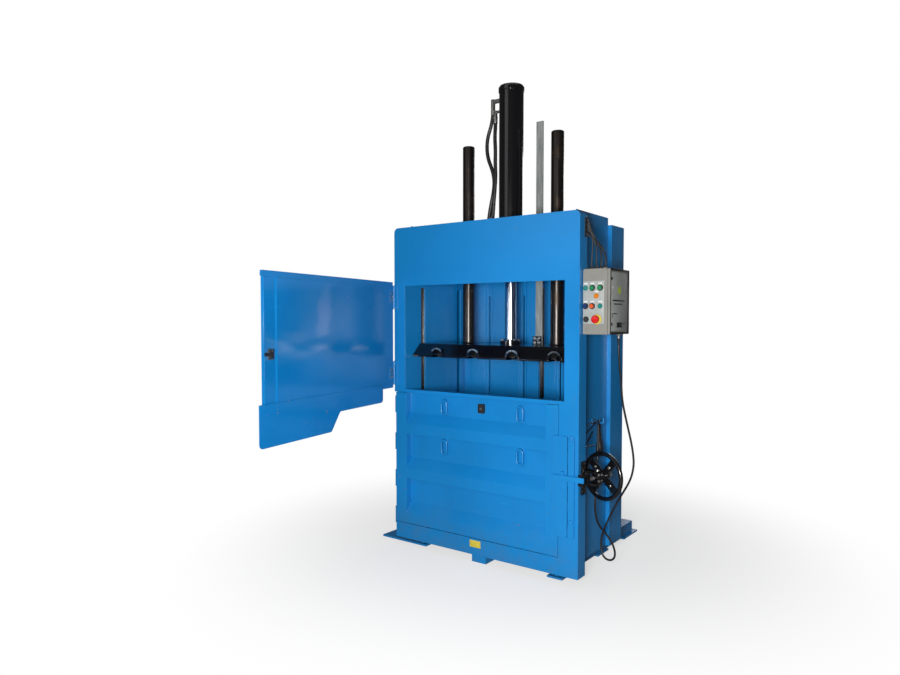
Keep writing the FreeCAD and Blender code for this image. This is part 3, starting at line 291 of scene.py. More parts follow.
FINISHES = {
    "machine_blue": gloss_paint("machine_blue", BLUE, chips=0.5, dust=0.25),
    "gate_blue": gloss_paint("gate_blue", GATE_BLUE, chips=0.7, roughness=0.15, coat=0.12, runs=0.3),
    "black_paint": gloss_paint("black_paint", (0.0045, 0.0045, 0.0055), roughness=0.16, coat=0.35),
    "oiled_steel": oiled_steel("oiled_steel", (0.044, 0.039, 0.036), 0.30),
    "hard_chrome": chrome("hard_chrome"),
    "grey_bar": weathered_bar("grey_bar"),
    "bare_steel": worn_metal("bare_steel", (0.42, 0.42, 0.43), 0.34),
    "bright_zinc": worn_metal("bright_zinc", (0.66, 0.65, 0.60), 0.24),
    "box_grey": box_enamel("box_grey", (0.236, 0.229, 0.206)),
    "black_rubber": moulded("black_rubber", (0.012, 0.012, 0.013), 0.6),
    "hose_rubber": moulded("hose_rubber", (0.013, 0.013, 0.014), 0.36),
    "cable_sheath": moulded("cable_sheath", (0.012, 0.012, 0.014), 0.38),
    "black_plastic": moulded("black_plastic", (0.016, 0.016, 0.018), 0.35),
    "button_green": moulded("button_green", (0.010, 0.210, 0.075), 0.26, coat=0.4),
    "button_blue": moulded("button_blue", (0.010, 0.030, 0.120), 0.26, coat=0.4),
    "button_orange": moulded("button_orange", (0.640, 0.085, 0.015), 0.26, coat=0.4),
    "stop_red": moulded("stop_red", (0.560, 0.012, 0.010), 0.25, coat=0.4),
    "lamp_lens": lens("lamp_lens", (0.010, 0.220, 0.200)),
    "amber_lens": lens("amber_lens", (0.700, 0.210, 0.010)),
    "yellow_field": moulded("yellow_field", (0.620, 0.500, 0.060), 0.38),
    "lime_field": moulded("lime_field", (0.420, 0.560, 0.060), 0.38),
    "label_grey": moulded("label_grey", (0.330, 0.350, 0.335), 0.36),
    "label_white": moulded("label_white", (0.620, 0.630, 0.620), 0.32),
}
# each CAD part takes the finish named by its row's material slot in the record
for row in frame["record"]["subparts"]:
    cad_mesh = frame["nodes"][row["node"]].data
    cad_mesh.materials.clear()
    cad_mesh.materials.append(FINISHES[row["material_slot"]])


# ------------------------------------------------------------------ places
# Pieces are drawn in millimetres: X, depth behind the front plane, Z. The gate's are drawn
# along the closed gate and the clamp's with +Z along the spindle.
def at(x, depth, z):
    return Vector((x * MM, FRONT + depth * MM, z * MM))


def reach(node):
    """(lowest, highest) X, depth and Z of a CAD node, in millimetres."""
    low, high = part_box(node)
    return [(round((a - start) / MM, 1), round((b - start) / MM, 1))
            for a, b, start in zip(low, high, (0.0, FRONT, 0.0))]


def pin(joint_name):
    """A hinge's pin as X, depth and Z, in millimetres."""
    x, y, z = next(j["pos_m"] for j in frame["joints"] if j["name"] == joint_name)
    return round(x / MM, 1), round((y - FRONT) / MM, 1), round(z / MM, 1)


GATE_PIN, CLAMP_PIN = pin("gate_swing"), pin("clamp_rock")
GATE_OPEN, CLAMP_TURN = math.radians(-79), math.radians(-17)
HERE = Matrix.Translation((0.0, FRONT, 0.0)) @ Matrix.Scale(MM, 4)
ON_GATE = (Matrix.Translation(at(*GATE_PIN[:2], 0)) @ Matrix.Rotation(GATE_OPEN, 4, "Z")
           @ Matrix.Scale(MM, 4))
ON_CLAMP = (Matrix.Translation(at(*CLAMP_PIN)) @ Matrix.Rotation(CLAMP_TURN, 4, "Z")
            @ Matrix.Rotation(math.radians(-90), 4, "X") @ Matrix.Scale(MM, 4))
RIGHT, OUT, UP, DOWN = (1, 0, 0), (0, -1, 0), (0, 0, 1), (0, 0, -1)
BACKWARDS = (0, 1, 0)


# ------------------------------------------------------------------ shapes
def piece(name, bm, finish, body="root", seat=HERE, smooth=38, replaces=()):
    """Turns a bmesh into a piece that rides on a body."""
    bmesh.ops.remove_doubles(bm, verts=bm.verts, dist=1e-4)
    bmesh.ops.transform(bm, matrix=seat, verts=bm.verts)
    bmesh.ops.recalc_face_normals(bm, faces=bm.faces)
    mesh = bpy.data.meshes.new(name)
    bm.to_mesh(mesh)
    bm.free()
    mesh.materials.append(FINISHES[finish])
    thing = bpy.data.objects.new(name, mesh)
    bpy.context.scene.collection.objects.link(thing)
    mesh.shade_smooth()
    mesh.set_sharp_from_angle(angle=math.radians(smooth))
    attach(thing, body)
    if replaces:
        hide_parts(*replaces)


def made(name, finish, draw, body="root", seat=HERE, replaces=()):
    """A piece drawn by a function that takes the empty bmesh."""
    bm = bmesh.new()
    draw(bm)
    piece(name, bm, finish, body, seat, replaces=replaces)


def block(bm, low, high, bevel=0.0):
    """A block between two corners, with softened edges."""
    low, high = Vector(low), Vector(high)
    matrix = Matrix.Translation((low + high) / 2) @ Matrix.Diagonal((*(high - low), 1.0))
    verts = bmesh.ops.create_cube(bm, size=1.0, matrix=matrix)["verts"]
    if bevel > 0.0:
        edges = list({e for v in verts for e in v.link_edges})
        bmesh.ops.bevel(bm, geom=edges, offset=bevel, segments=2, affect="EDGES", profile=0.5,
                        material=-1)
    return verts


def prism(bm, outline, way):
    """A flat closed outline pushed along a direction."""
    flat = bm.faces.new([bm.verts.new(point) for point in outline])
    pushed = bmesh.ops.extrude_face_region(bm, geom=[flat])["geom"]
    moved = [part for part in pushed if isinstance(part, bmesh.types.BMVert)]
    bmesh.ops.translate(bm, vec=way, verts=moved)


def along(start, way):
    """A matrix that starts at a point and puts +Z along a direction."""
    turn = Vector(way).to_track_quat("Z", "Y").to_matrix().to_4x4()
    return Matrix.Translation(Vector(start)) @ turn


def lathe(bm, profile, start=(0, 0, 0), way=UP, sides=32):
    """Spins a closed run of (radius, height) points about a line."""
    place = along(start, way)
    verts = [bm.verts.new(place @ Vector((r, 0.0, h))) for r, h in profile]
    turns = list(zip(verts, profile))
    edges = [bm.edges.new((one, other)) for (one, (r, _)), (other, (s, _))
             in zip(turns, turns[1:] + turns[:1]) if r > 0.0 or s > 0.0]
    bmesh.ops.spin(bm, geom=verts + edges, cent=place.translation, axis=place.col[2].to_3d(),
                   dvec=(0.0, 0.0, 0.0), angle=2 * math.pi, steps=sides, use_merge=True)


def collar(bm, inner, outer, low, high, start, way):
    """A plain ring between two radii and two heights."""
    lathe(bm, [(inner, low), (outer, low), (outer, high), (inner, high)], start, way, 40)


def tube(bm, route, radius, closed=False, sides=12):
    """A bent round bar through the points."""
    spots = [Vector(point) for point in route]
    last = len(spots) - 1
    loops = []
    for i, spot in enumerate(spots):
        before = spots[i - 1] if closed or i > 0 else spot
        after = spots[0] if closed and i == last else spots[min(i + 1, last)]
        ring = bmesh.ops.create_circle(bm, cap_ends=not closed and i in (0, last), segments=sides,
                                       radius=radius, matrix=along(spot, after - before))["verts"]
        loops.append(list({e for v in ring for e in v.link_edges}))
    for one, other in zip(loops, loops[1:] + (loops[:1] if closed else [])):
        bmesh.ops.bridge_loops(bm, edges=one + other)


def rounded(route, radius, turns=5):
    """The route with its inner corners rounded off by short curves."""
    spots = [Vector(point) for point in route]
    line = [spots[0]]
    for before, corner, after in zip(spots, spots[1:], spots[2:]):
        start = corner + (before - corner).normalized() * radius
        end = corner + (after - corner).normalized() * radius
        for t in (k / turns for k in range(turns + 1)):
            line.append((1 - t) ** 2 * start + 2 * t * (1 - t) * corner + t * t * end)
    return line + [spots[-1]]


def disc(bm, start, way, radius, height, sides=24):
    """A cap or pin head, its far rim chamfered."""
    b = height * 0.2
    lathe(bm, [(0, 0), (radius, 0), (radius, height - b), (radius - b, height), (0, height)],
          start, way, sides)


def hexagon(bm, start, way, across, height):
    """A nut or bolt head, measured across its flats, with chamfered corners."""
    r = across / math.sqrt(3)
    lathe(bm, [(0, 0), (r, 0), (r, height * 0.82), (r * 0.86, height), (0, height)], start, way, 6)


def bolt(bm, start, way, across):
    """A hexagon head on a washer; way is the outward direction."""
    step = Vector(way).normalized()
    washer = across * 0.13
    disc(bm, start, way, across * 0.82, washer, 20)
    hexagon(bm, Vector(start) + step * washer, way, across, across * 0.55)


def bead(bm, start, end, radius):
    """A weld bead: a thin uneven run of ripples, one every 9 mm, between two points."""
    way = Vector(end) - Vector(start)
    steps = max(2, int(way.length / 9.0))
    ripples = [(radius * (rng.uniform(0.75, 1.1) if 0 < i < steps else 0.4), way.length * i / steps)
               for i in range(steps + 1)]
    lathe(bm, [(0.0, 0.0)] + ripples + [(0.0, way.length)], start, way, 6)


def beads(name, runs, finish="machine_blue", body="root", seat=HERE, radius=3.0):
    bm = bmesh.new()
    for start, end in runs:
        bead(bm, start, end, radius)
    piece(name, bm, finish, body, seat, smooth=70)


def bolts(name, places, way, across, finish="bright_zinc", body="root", seat=HERE):
    bm = bmesh.new()
    for place in places:
        bolt(bm, place, way, across)
    piece(name, bm, finish, body, seat)


def heads(name, finish, places, radius, height, body="root", seat=HERE):
    """Round heads at (place, outward direction) pairs."""
    bm = bmesh.new()
    for place, way in places:
        disc(bm, place, way, radius, height)
    piece(name, bm, finish, body, seat)


def round_about(centre, radius, count, first=0.0):
    """Points on a level circle."""
    x, y, z = centre
    turns = [first + 2 * math.pi * k / count for k in range(count)]
    return [(x + radius * math.cos(a), y + radius * math.sin(a), z) for a in turns]


# ------------------------------------------------------------------ cords and hoses
# Each route is (x, depth behind the front plane, z) in millimetres; lengths are in metres.
HOSE_UPPER = [(-150, 402, 3080), (-150, 402, 3030), (-166, 402, 2958), (-194, 402, 2890),
              (-203, 402, 2810), (-190, 402, 2730), (-155, 402, 2655), (-137, 402, 2575),
              (-146, 402, 2490), (-168, 402, 2405), (-183, 402, 2320), (-197, 402, 2235),
              (-203, 402, 2160), (-203, 402, 2094)]
HOSE_LOWER = [(-112, 375, 3010), (-112, 375, 2950), (-116, 372, 2870), (-110, 372, 2780),
              (-114, 375, 2690), (-108, 374, 2600), (-113, 371, 2510), (-122, 372, 2420),
              (-131, 374, 2330), (-139, 375, 2245), (-140, 375, 2165), (-140, 375, 2094)]
CONTROL_CABLES = [
    [(729.3, 78, 2196), (741, 84, 2150), (753, 93, 2100), (757, 98, 2045), (752, 96, 1990),
     (750, 95, 1945), (750, 95, 1921)],
    [(729.1, 72, 2168), (746, 80, 2128), (765, 91, 2080), (779, 97, 2028), (782, 97, 1975),
     (780, 95, 1940), (780, 95, 1921)],
    [(728.8, 78, 2140), (752, 88, 2104), (782, 96, 2062), (804, 99, 2012), (811, 97, 1962),
     (810, 95, 1936), (810, 95, 1921)],
    [(728.3, 72, 2112), (758, 84, 2082), (798, 93, 2046), (828, 98, 2002), (840, 96, 1956),
     (840, 95, 1934), (840, 95, 1921)],
    [(729.2, 87, 2184), (744, 97, 2138), (762, 114, 2082), (768, 127, 2020), (766, 131, 1965),
     (765, 130, 1938), (765, 130, 1916)],
    [(728.8, 87, 2156), (750, 98, 2116), (777, 116, 2066), (795, 129, 2010), (797, 131, 1962),
     (795, 130, 1938), (795, 130, 1916)],
    [(728.4, 87, 2128), (756, 99, 2092), (794, 117, 2048), (821, 129, 1998), (827, 131, 1957),
     (825, 130, 1936), (825, 130, 1916)]]
POWER_CORD = [(850, 271, 1488), (850, 271, 1420), (851, 283, 1340), (850, 305, 1258),
              (848, 326, 1178), (846, 345, 1100), (856, 366, 1010), (870, 386, 920),
              (886, 398, 835), (897, 406, 755), (900, 409, 684), (879, 409, 594), (819, 409, 490),
              (766, 410, 394), (712, 409, 273), (689, 409, 208), (683, 407, 159), (690, 403, 115),
              (702, 400, 81), (732, 394, 63), (767, 388, 68), (790, 383, 94), (794, 377, 130),
              (785, 370, 172), (763, 361, 215), (731, 346, 261), (714, 311, 300), (708, 280, 353),
              (706, 263, 423), (706, 263, 475), (706, 273, 561), (706, 284, 638), (706, 293, 712),
              (706, 299, 780), (706, 302, 840), (706, 304, 890), (706, 304, 936),
              (697.5, 328, 962), (685.5, 362, 962), (677, 386, 936), (677, 390, 906),
              (677, 390, 878)]
HOSE_LENGTHS = (1.008, 0.918)
CABLE_LENGTHS = (0.279, 0.258, 0.242, 0.234, 0.278, 0.260, 0.247)
HOSE_THICK, CABLE_THICK, CORD_THICK = 0.026, 0.009, 0.013


def flex(name, route, thick, finish, replaces):
    """A cord, cable or hose as one smooth NURBS line along its route."""
    curve = bpy.data.curves.new(name, "CURVE")
    curve.dimensions = "3D"
    curve.bevel_depth = thick / 2
    curve.bevel_resolution = 4
    curve.resolution_u = 8
    curve.use_fill_caps = True
    spline = curve.splines.new("NURBS")
    spline.points.add(len(route) - 1)
    for point, place in zip(spline.points, route):
        point.co = (*at(*place), 1.0)
    spline.order_u = 3
    spline.use_endpoint_u = True
    curve.materials.append(FINISHES[finish])
    thing = bpy.data.objects.new(name, curve)
    bpy.context.scene.collection.objects.link(thing)
    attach(thing, "root")
    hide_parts(replaces)
    return thing


for hose_name, hose_route, hose_length in zip(("hose_upper", "hose_lower"),
                                              (HOSE_UPPER, HOSE_LOWER), HOSE_LENGTHS):
    hose = flex(hose_name + "_line", hose_route, HOSE_THICK, "hose_rubber", hose_name)
for number, (cable_route, cable_length) in enumerate(zip(CONTROL_CABLES, CABLE_LENGTHS), 1):
    cable = flex("control_cable_%d" % number, cable_route, CABLE_THICK, "cable_sheath",
                 "control_cables")
cord = flex("power_cord_line", POWER_CORD, CORD_THICK, "cable_sheath", "power_cord")


def hose_ends(bm):
    """Crimped ferrules with their hexagon nuts at both ends of both hoses."""
    inner, outer, groove = 13.1, 15.6, 14.5
    for route in (HOSE_UPPER, HOSE_LOWER):
        for end, next_point in (route[:2], route[:-3:-1]):
            way = Vector(next_point) - Vector(end)
            hexagon(bm, end, way, 30, 13)
            crimps = [(inner, 12), (outer, 12)]
            for low in range(16, 44, 7):
                crimps += [(outer, low), (groove, low + 1), (groove, low + 4), (outer, low + 5)]
            lathe(bm, crimps + [(outer, 45), (inner, 45)], end, way, 24)


def cable_ends(bm):
    """Rubber grommets where the control cables leave the frame."""
    for route in CONTROL_CABLES:
        way = Vector(route[1]) - Vector(route[0])
        lathe(bm, [(4.4, 0), (8.5, 0), (8.5, 3), (6.2, 6), (5.4, 15), (4.4, 15)], route[0], way, 18)


def cord_relief(bm):
    """Tapered, ringed strain relief under the cord's gland."""
    inner = 6.4
    rings = [(inner, 0), (9.4, 0)]
    for k in range(6):
        outer = 9.2 - 0.33 * k
        rings += [(outer, 6 * k + 1), (outer, 6 * k + 4), (outer - 1.3, 6 * k + 4.8),
                  (outer - 1.3, 6 * k + 6)]
    lathe(bm, rings + [(7.1, 42), (inner, 42)], POWER_CORD[0], DOWN, 28)


made("hose_ferrules", "bright_zinc", hose_ends)
made("cable_grommets", "black_rubber", cable_ends)
made("cord_strain_relief", "black_rubber", cord_relief)

# ------------------------------------------------------------------ press and cylinder
(PRESS_LEFT, PRESS_RIGHT), (PRESS_FRONT, PRESS_BACK), (PRESS_FOOT, PRESS_TOP) = reach("platen")
RAM = 402                           # depth of the cylinder and the guide rods
ROD_X = 358
TIE_X = [56 + 305 * (i - 1.5) for i in range(4)]
FRONT_LIP, SLOPE_END = 1352, 150    # top of the plate's front lip, depth where its slope ends
HOOD = 40                           # inner radius of the hoods in that slope
CHANNEL, CHANNEL_RISE = 23, 1365    # radius of the tie channels, and their centre's height
CROSSHEAD_TOP = 1960                # upper face of the crosshead's plate
CROSSHEAD_END, BEAM = 621, 94       # the crosshead's end, and its beams' distance from the axis
END_CAP = 3164                      # where the barrel's end cap is welded on


def arch(x, radius, foot, rise, turns=18):
    """An arch's line in the XZ plane, from its right foot over the top to its left one."""
    line = [(x + radius * math.cos(math.pi * k / turns), rise + radius * math.sin(math.pi * k / turns))
            for k in range(turns + 1)]
    return [(x + radius, foot)] + line + [(x - radius, foot)]


def upright(bm, outline, front, thick):
    """An outline in the XZ plane, pushed back from a depth."""
    prism(bm, [(x, front, z) for x, z in outline], (0, thick, 0))


def lengthwise(bm, outline, left, right):
    """An outline of depth and Z, pushed from one X to another."""
    prism(bm, [(left, y, z) for y, z in outline], (right - left, 0, 0))


def press_plate(bm):
    """The plate with its tie channels, sloped front edge and a hood over each channel's mouth."""
    top, rear, corner = PRESS_TOP, PRESS_BACK - 1, 14
    line = [(PRESS_LEFT, PRESS_FOOT)]
    for x in TIE_X:
        line += arch(x, CHANNEL, PRESS_FOOT, CHANNEL_RISE)[::-1]
    line += [(PRESS_RIGHT, PRESS_FOOT), (PRESS_RIGHT, top - corner), (PRESS_RIGHT - corner, top),
             (PRESS_LEFT + corner, top), (PRESS_LEFT, top - corner)]
    upright(bm, line, SLOPE_END, rear - SLOPE_END)
    slope = [(PRESS_FRONT, PRESS_FOOT), (SLOPE_END, PRESS_FOOT), (SLOPE_END, top),
             (PRESS_FRONT, FRONT_LIP)]
    edges = [PRESS_LEFT] + [x + s * HOOD for x in TIE_X for s in (-1, 1)] + [PRESS_RIGHT]
    for low, high in zip(edges[::2], edges[1::2]):
        lengthwise(bm, slope, low, high)
    for x in TIE_X:
        lengthwise(bm, [(112, 1392), (SLOPE_END, 1392), (SLOPE_END, top)], x - HOOD, x + HOOD)


def hoods(bm):
    """Half-round hoods over the front mouths of the tie channels, and rims round the rear ones."""
    for x in TIE_X:
        hood = arch(x, HOOD, 1341, FRONT_LIP) + arch(x, HOOD + 14, 1341, FRONT_LIP)[::-1]
        upright(bm, hood, 73, SLOPE_END - 75)
        rim = (arch(x, CHANNEL, PRESS_FOOT, CHANNEL_RISE)
               + arch(x, CHANNEL + 4, PRESS_FOOT, CHANNEL_RISE)[::-1])
        upright(bm, rim, 705, 7)


def hood_highlights(bm):
    """Bright steel strips over the tops of the hoods' front edges: a painted highlight where the light catches
    them.
    """
    bends = [math.radians(38 + 104 * k / 16) for k in range(17)]
    for x in TIE_X:
        inner, outer = [[(x + r * math.cos(a), FRONT_LIP + r * math.sin(a)) for a in bends]
                        for r in (HOOD + 5, HOOD + 14.4)]
        upright(bm, inner + outer[::-1], 71.5, 3.5)


def ram_foot(bm):
    """Cover on the flange where the ram meets the plate."""
    lathe(bm, [(50, 1430.2), (72.6, 1430.2), (72.6, 1454.4), (50.4, 1462.6), (50, 1462)],
          (0, RAM, 0), UP, 48)


def rod_welds(bm):
    """Fillets round the feet of the guide rods."""
    for x in (-ROD_X, ROD_X):
        lathe(bm, [(42.4, 1430), (50, 1430), (47.5, 1436), (42.4, 1438)], (x, RAM, 0), UP, 40)


def wiper(bm):
    """Rubber lip under the gland that wipes the ram."""
    lathe(bm, [(40.4, 1861), (52, 1861), (54, 1864), (54, 1867), (40.4, 1867)], (0, RAM, 0), UP, 40)


def barrel_seams():
    """The weld runs round the barrel, over the crosshead's plate and under the end cap."""
    for z in (CROSSHEAD_TOP + 31, END_CAP):
        ring = round_about((0, RAM, z), 86, 24)
        yield from zip(ring, ring[1:] + ring[:1])


made("press_plate", "black_paint", press_plate, "press", replaces=("platen",))
made("channel_hoods", "black_paint", hoods, "press")
# painted highlight: bright steel strips over the hoods' tops
made("channel_hood_highlights", "bright_zinc", hood_highlights, "press")
made("ram_foot_cover", "black_paint", ram_foot, "press")
bolts("ram_foot_bolts", round_about((0, RAM, 1457), 61, 8, 0.2), UP, 14, "bare_steel", "press")
made("guide_rod_welds", "black_paint", rod_welds, "press")
made("position_bar_plate", "black_paint",
     lambda bm: block(bm, (178, 398, 1431), (242, 404, 1489), 1.5), "press")
bolts("position_bar_bolts", [(x, 398, z) for x in (193, 227) for z in (1445, 1475)], OUT, 12,
      "bright_zinc", "press")
made("rod_wiper", "black_rubber", wiper)
bolts("bush_bolts", [place for x in (-ROD_X, ROD_X)
                     for place in round_about((x, RAM, CROSSHEAD_TOP + 16), 72, 6, 0.3)],
      UP, 11, "bare_steel")
beads("crosshead_welds", [((x, y, CROSSHEAD_TOP + 6), (x, y, 2184))
                          for x in (-CROSSHEAD_END, CROSSHEAD_END) for y in (RAM - BEAM, RAM + BEAM)]
      + [((x, RAM - 150, CROSSHEAD_TOP + 2), (x, RAM + 150, CROSSHEAD_TOP + 2))
         for x in (-CROSSHEAD_END, CROSSHEAD_END)], radius=4.0)
beads("barrel_welds", barrel_seams(), "black_paint", radius=3.2)
made("bleed_screw", "bright_zinc", lambda bm: hexagon(bm, (34, RAM, 3205), UP, 14, 2))

# ------------------------------------------------------------------ power pack
MOTOR = (173.5, 2026)               # depth and height of the motor's axis


def motor_fins(bm):
    """Cooling fins all round the motor but for its foot."""
    depth, z = MOTOR
    for turn in (2 * math.pi * k / 30 for k in range(30)):
        if math.sin(turn) > -0.75:
            fin = block(bm, (-298, depth + 53, z - 1.2), (-181, depth + 60.5, z + 1.2))
            bmesh.ops.rotate(bm, cent=(0, *MOTOR), matrix=Matrix.Rotation(turn, 3, "X"), verts=fin)


def motor_box(bm):
    """Terminal box and its lid."""
    block(bm, (-275, 144, 2079), (-205, 203, 2109), 3.0)
    block(bm, (-272, 147, 2107), (-208, 200, 2115), 2.0)


def fan_slots(bm):
    """Rings of the fan's grille on the motor's end."""
    for inner in (16, 30, 44):
        collar(bm, inner, inner + 8, 0, 0.8, (-139, *MOTOR), RIGHT)


def coils(bm):
    """Two valve coils with their plugs."""
    for x in (-192, -142):
        disc(bm, (x, 451, 2016), BACKWARDS, 18, 36)
        block(bm, (x - 13, 456, 2031), (x + 13, 482, 2056), 2.0)


def filler_ribs(bm):
    """Grip ribs round the filler cap."""
    for x, y, _ in round_about((-563, 158, 0), 24, 24):
        block(bm, (x - 1.5, y - 1.5, 2191), (x + 1.5, y + 1.5, 2201), 0.5)


made("motor_fins", "grey_bar", motor_fins)
made("motor_terminal_box", "grey_bar", motor_box)
made("motor_fan_slots", "black_plastic", fan_slots)
made("valve_coils", "black_plastic", coils)
made("sight_glass_frame", "black_plastic",
     lambda bm: block(bm, (-428, 239, 1985), (-404, 247, 2125), 3.0))
made("sight_glass", "label_white",
     lambda bm: block(bm, (-422, 246, 1995), (-410, 248.5, 2115), 1.0))
bolts("sight_glass_bolts", [(-416, 247, z) for z in (1990, 2120)], BACKWARDS, 8)
bolts("valve_bolts", [(x, y, 2070) for x in (-218, -168, -116) for y in (360, 444)], UP, 8)
bolts("motor_bolts", [(x, y, 1990) for x in (-281, -197) for y in (139, 208)], UP, 10)
made("filler_ribs", "black_plastic", filler_ribs)

# ------------------------------------------------------------------ switch box
BOX_GAP = 2                         # between the machine's side and the box's side
(BOX_SIDE, _), (BOX_FRONT, _), (BOX_BOTTOM, BOX_TOP) = reach("control_box_shell")
BOX_LEFT = BOX_SIDE + BOX_GAP
DOOR_FACE = reach("control_box_door")[0][1]
LAMP = (88, 225)                    # the amber lamp's place on the box's front
STOP = (92, 88)                     # the emergency stop's place there
GLANDS, BRIGHT_GLAND, GLAND_DEPTH = (750, 780, 810), 840, 95
REAR_GLANDS, REAR_DEPTH = (765, 795, 825), 130
CORD_GLAND = (850, 271, BOX_BOTTOM)


def on_box(across, up, out=0.0):
    """A place on the box's front, from its lowest left corner."""
    return BOX_LEFT + across, BOX_FRONT - out, BOX_BOTTOM + up


def field(bm, left, bottom, right, top, out=0.7, back=0.0):
    """A thin plate on the box's front."""
    block(bm, on_box(left, bottom, out), on_box(right, top, back), 0.2)


def legends(bm):
    """Plain tags over the buttons and lamps."""
    for across, up in ((20, 272), (62, 272), (112, 272), LAMP, (20, 166), (62, 166), (112, 166)):
        field(bm, across - 12, up + 21, across + 12, up + 30, 1.3, 0.6)


def door_bar(bm, near, far, low, high):
    """A raised bar on the box door, from one depth to another."""
    block(bm, (DOOR_FACE + 0.6, near, BOX_BOTTOM + low), (DOOR_FACE + 1.9, far, BOX_BOTTOM + high),
          0.1)


def door_marks(bm):
    """The plain bars on the box door."""
    for near, far, low, high in ((67, 245, 194, 202), (88, 214, 174, 181), (64, 132, 118, 123),
                                 (64, 70, 96, 118), (130, 206, 40, 70), (206, 262, 62, 66)):
        door_bar(bm, near, far, low, high)


def door_locks(bm):
    """Two slotted quarter-turn locks."""
    for z in (BOX_BOTTOM + 60, BOX_BOTTOM + 324):
        disc(bm, (DOOR_FACE, 54, z), RIGHT, 9, 4)
        block(bm, (DOOR_FACE + 3, 52, z - 6), (DOOR_FACE + 5.5, 56, z + 6), 0.4)


def rim(bm, sides, depths, heights, widths, bevel):
    """Four strips round a rectangle in the door's plane; widths are front, rear and level ones."""
    (left, right), (near, far), (low, high) = sides, depths, heights
    front, rear, level = widths
    for one, two in (((near, low), (near + front, high)), ((far - rear, low), (far, high)),
                     ((near, low), (far, low + level)), ((near, high - level), (far, high))):
        block(bm, (left, *one), (right, *two), bevel)


def gasket(bm):
    """Rubber rim between the box and its door."""
    rim(bm, (879.6, 881.4), (33.8, 318.2), (1513.8, 1900.2), (4.2, 4.2, 4.2), 0.3)


def door_frame(bm):
    """Dark edge trim round the box door's face."""
    rim(bm, (DOOR_FACE - 0.5, DOOR_FACE + 0.9), (35.5, 316.5), (1516, 1898), (10.5, 24.5, 12), 0.5)


def gland_nuts(bm):
    """The glands' nuts on the box's top, the rear row's with round caps."""
    for x in GLANDS:
        hexagon(bm, (x, GLAND_DEPTH, BOX_TOP), UP, 24, 8)
    for x in REAR_GLANDS:
        hexagon(bm, (x, REAR_DEPTH, BOX_TOP), UP, 20, 7)
        disc(bm, (x, REAR_DEPTH, BOX_TOP + 6), UP, 8, 12)


def amber_lamp(bm):
    """Domed lens over its seat."""
    lathe(bm, [(0, 20.4), (0, 21.4), (6.6, 20.6), (10.4, 16.4), (11.4, 8.2), (15.4, 5.2), (15.4, 1),
               (14.8, 1), (14.8, 5), (10.8, 8)], on_box(*LAMP), OUT)


def on_door(name, finish, draw):
    made(name, finish, draw, "control_box_door")


made("legend_field", "label_grey", lambda bm: field(bm, 4, 62, 136, 312))
made("legend_tags", "label_white", legends)
made("stop_field", "yellow_field",
     lambda bm: collar(bm, 12.2, 29.4, 2.4, 3.2, on_box(*STOP), OUT))
on_door("box_door_field", "label_grey",
        lambda bm: block(bm, (DOOR_FACE, 54, 1536), (DOOR_FACE + 0.7, 284, 1878), 0.2))
on_door("box_door_frame", "black_plastic", door_frame)
on_door("box_door_marks", "black_plastic", door_marks)
on_door("box_door_dot", "label_white",
        lambda bm: disc(bm, (DOOR_FACE + 0.5, 70, 1790), RIGHT, 9, 0.8))
on_door("box_door_disc", "lime_field",
        lambda bm: disc(bm, (DOOR_FACE + 0.5, 168, 1775), RIGHT, 22, 0.8))
on_door("box_door_locks", "black_plastic", door_locks)
made("box_gasket", "black_rubber", gasket)
made("gland_nuts", "black_plastic", gland_nuts)
made("amber_lamp", "amber_lens", amber_lamp)
made("gland_nut_bright", "bright_zinc",
     lambda bm: hexagon(bm, (BRIGHT_GLAND, GLAND_DEPTH, BOX_TOP), UP, 24, 9))
made("cord_gland_nut", "bright_zinc", lambda bm: hexagon(bm, CORD_GLAND, DOWN, 29, 9))
bolts("box_bracket_bolts", [(x, BOX_FRONT, z) for x in (730, 872)
                            for z in (BOX_BOTTOM + 8, BOX_TOP - 8)], OUT, 7, "bare_steel")

# ------------------------------------------------------------------ wheel clamp
SPOKE_TURN, SPOKES = 40, 4          # the first spoke's angle in degrees, and their number
BARE_STRETCHES = ((-82, -37), (98, 118))       # where the spindle is out of its block and nut
THREAD_PITCH = 5


def spoke_bolts(bm):
    """One bolt head on the front of each spoke."""
    for k in range(SPOKES):
        a = math.radians(SPOKE_TURN + 360 / SPOKES * k)
        bolt(bm, (76 * math.cos(a), 76 * math.sin(a), 45), DOWN, 12)


def hub_nut(bm):
    """Nut and washer on the wheel's hub."""
    disc(bm, (0, 0, 70), UP, 24, 3)
    hexagon(bm, (0, 0, 73), UP, 30, 14)


def thread(bm):
    """Thread turns on the spindle's bare stretches."""
    for low, high in BARE_STRETCHES:
        for h in range(low, high - THREAD_PITCH + 1, THREAD_PITCH):
            lathe(bm, [(11.8, h), (12.2, h + 0.6), (13.4, h + 2.2), (13.4, h + 2.8), (12.2, h + 4.4),
                       (11.8, h + THREAD_PITCH)], sides=24)


made("spoke_bolts", "bright_zinc", spoke_bolts, "hand_wheel", ON_CLAMP)
made("hub_nut", "bright_zinc", hub_nut, "hand_wheel", ON_CLAMP)
made("spindle_thread", "bare_steel", thread, "fork_spindle", ON_CLAMP)
bolts("bracket_bolts", [(730, 47, z) for z in (572, 596, 714, 738)], RIGHT, 15, "black_paint")
heads("pivot_heads", "bright_zinc", [((*CLAMP_PIN[:2], 697.4), UP), ((*CLAMP_PIN[:2], 612.6), DOWN)],
      13, 6)
bolts("block_bolts", [(23, y, z) for y in (-18, 18) for z in (-13, 13)], RIGHT, 9, "bright_zinc",
      "clamp_block", ON_CLAMP)

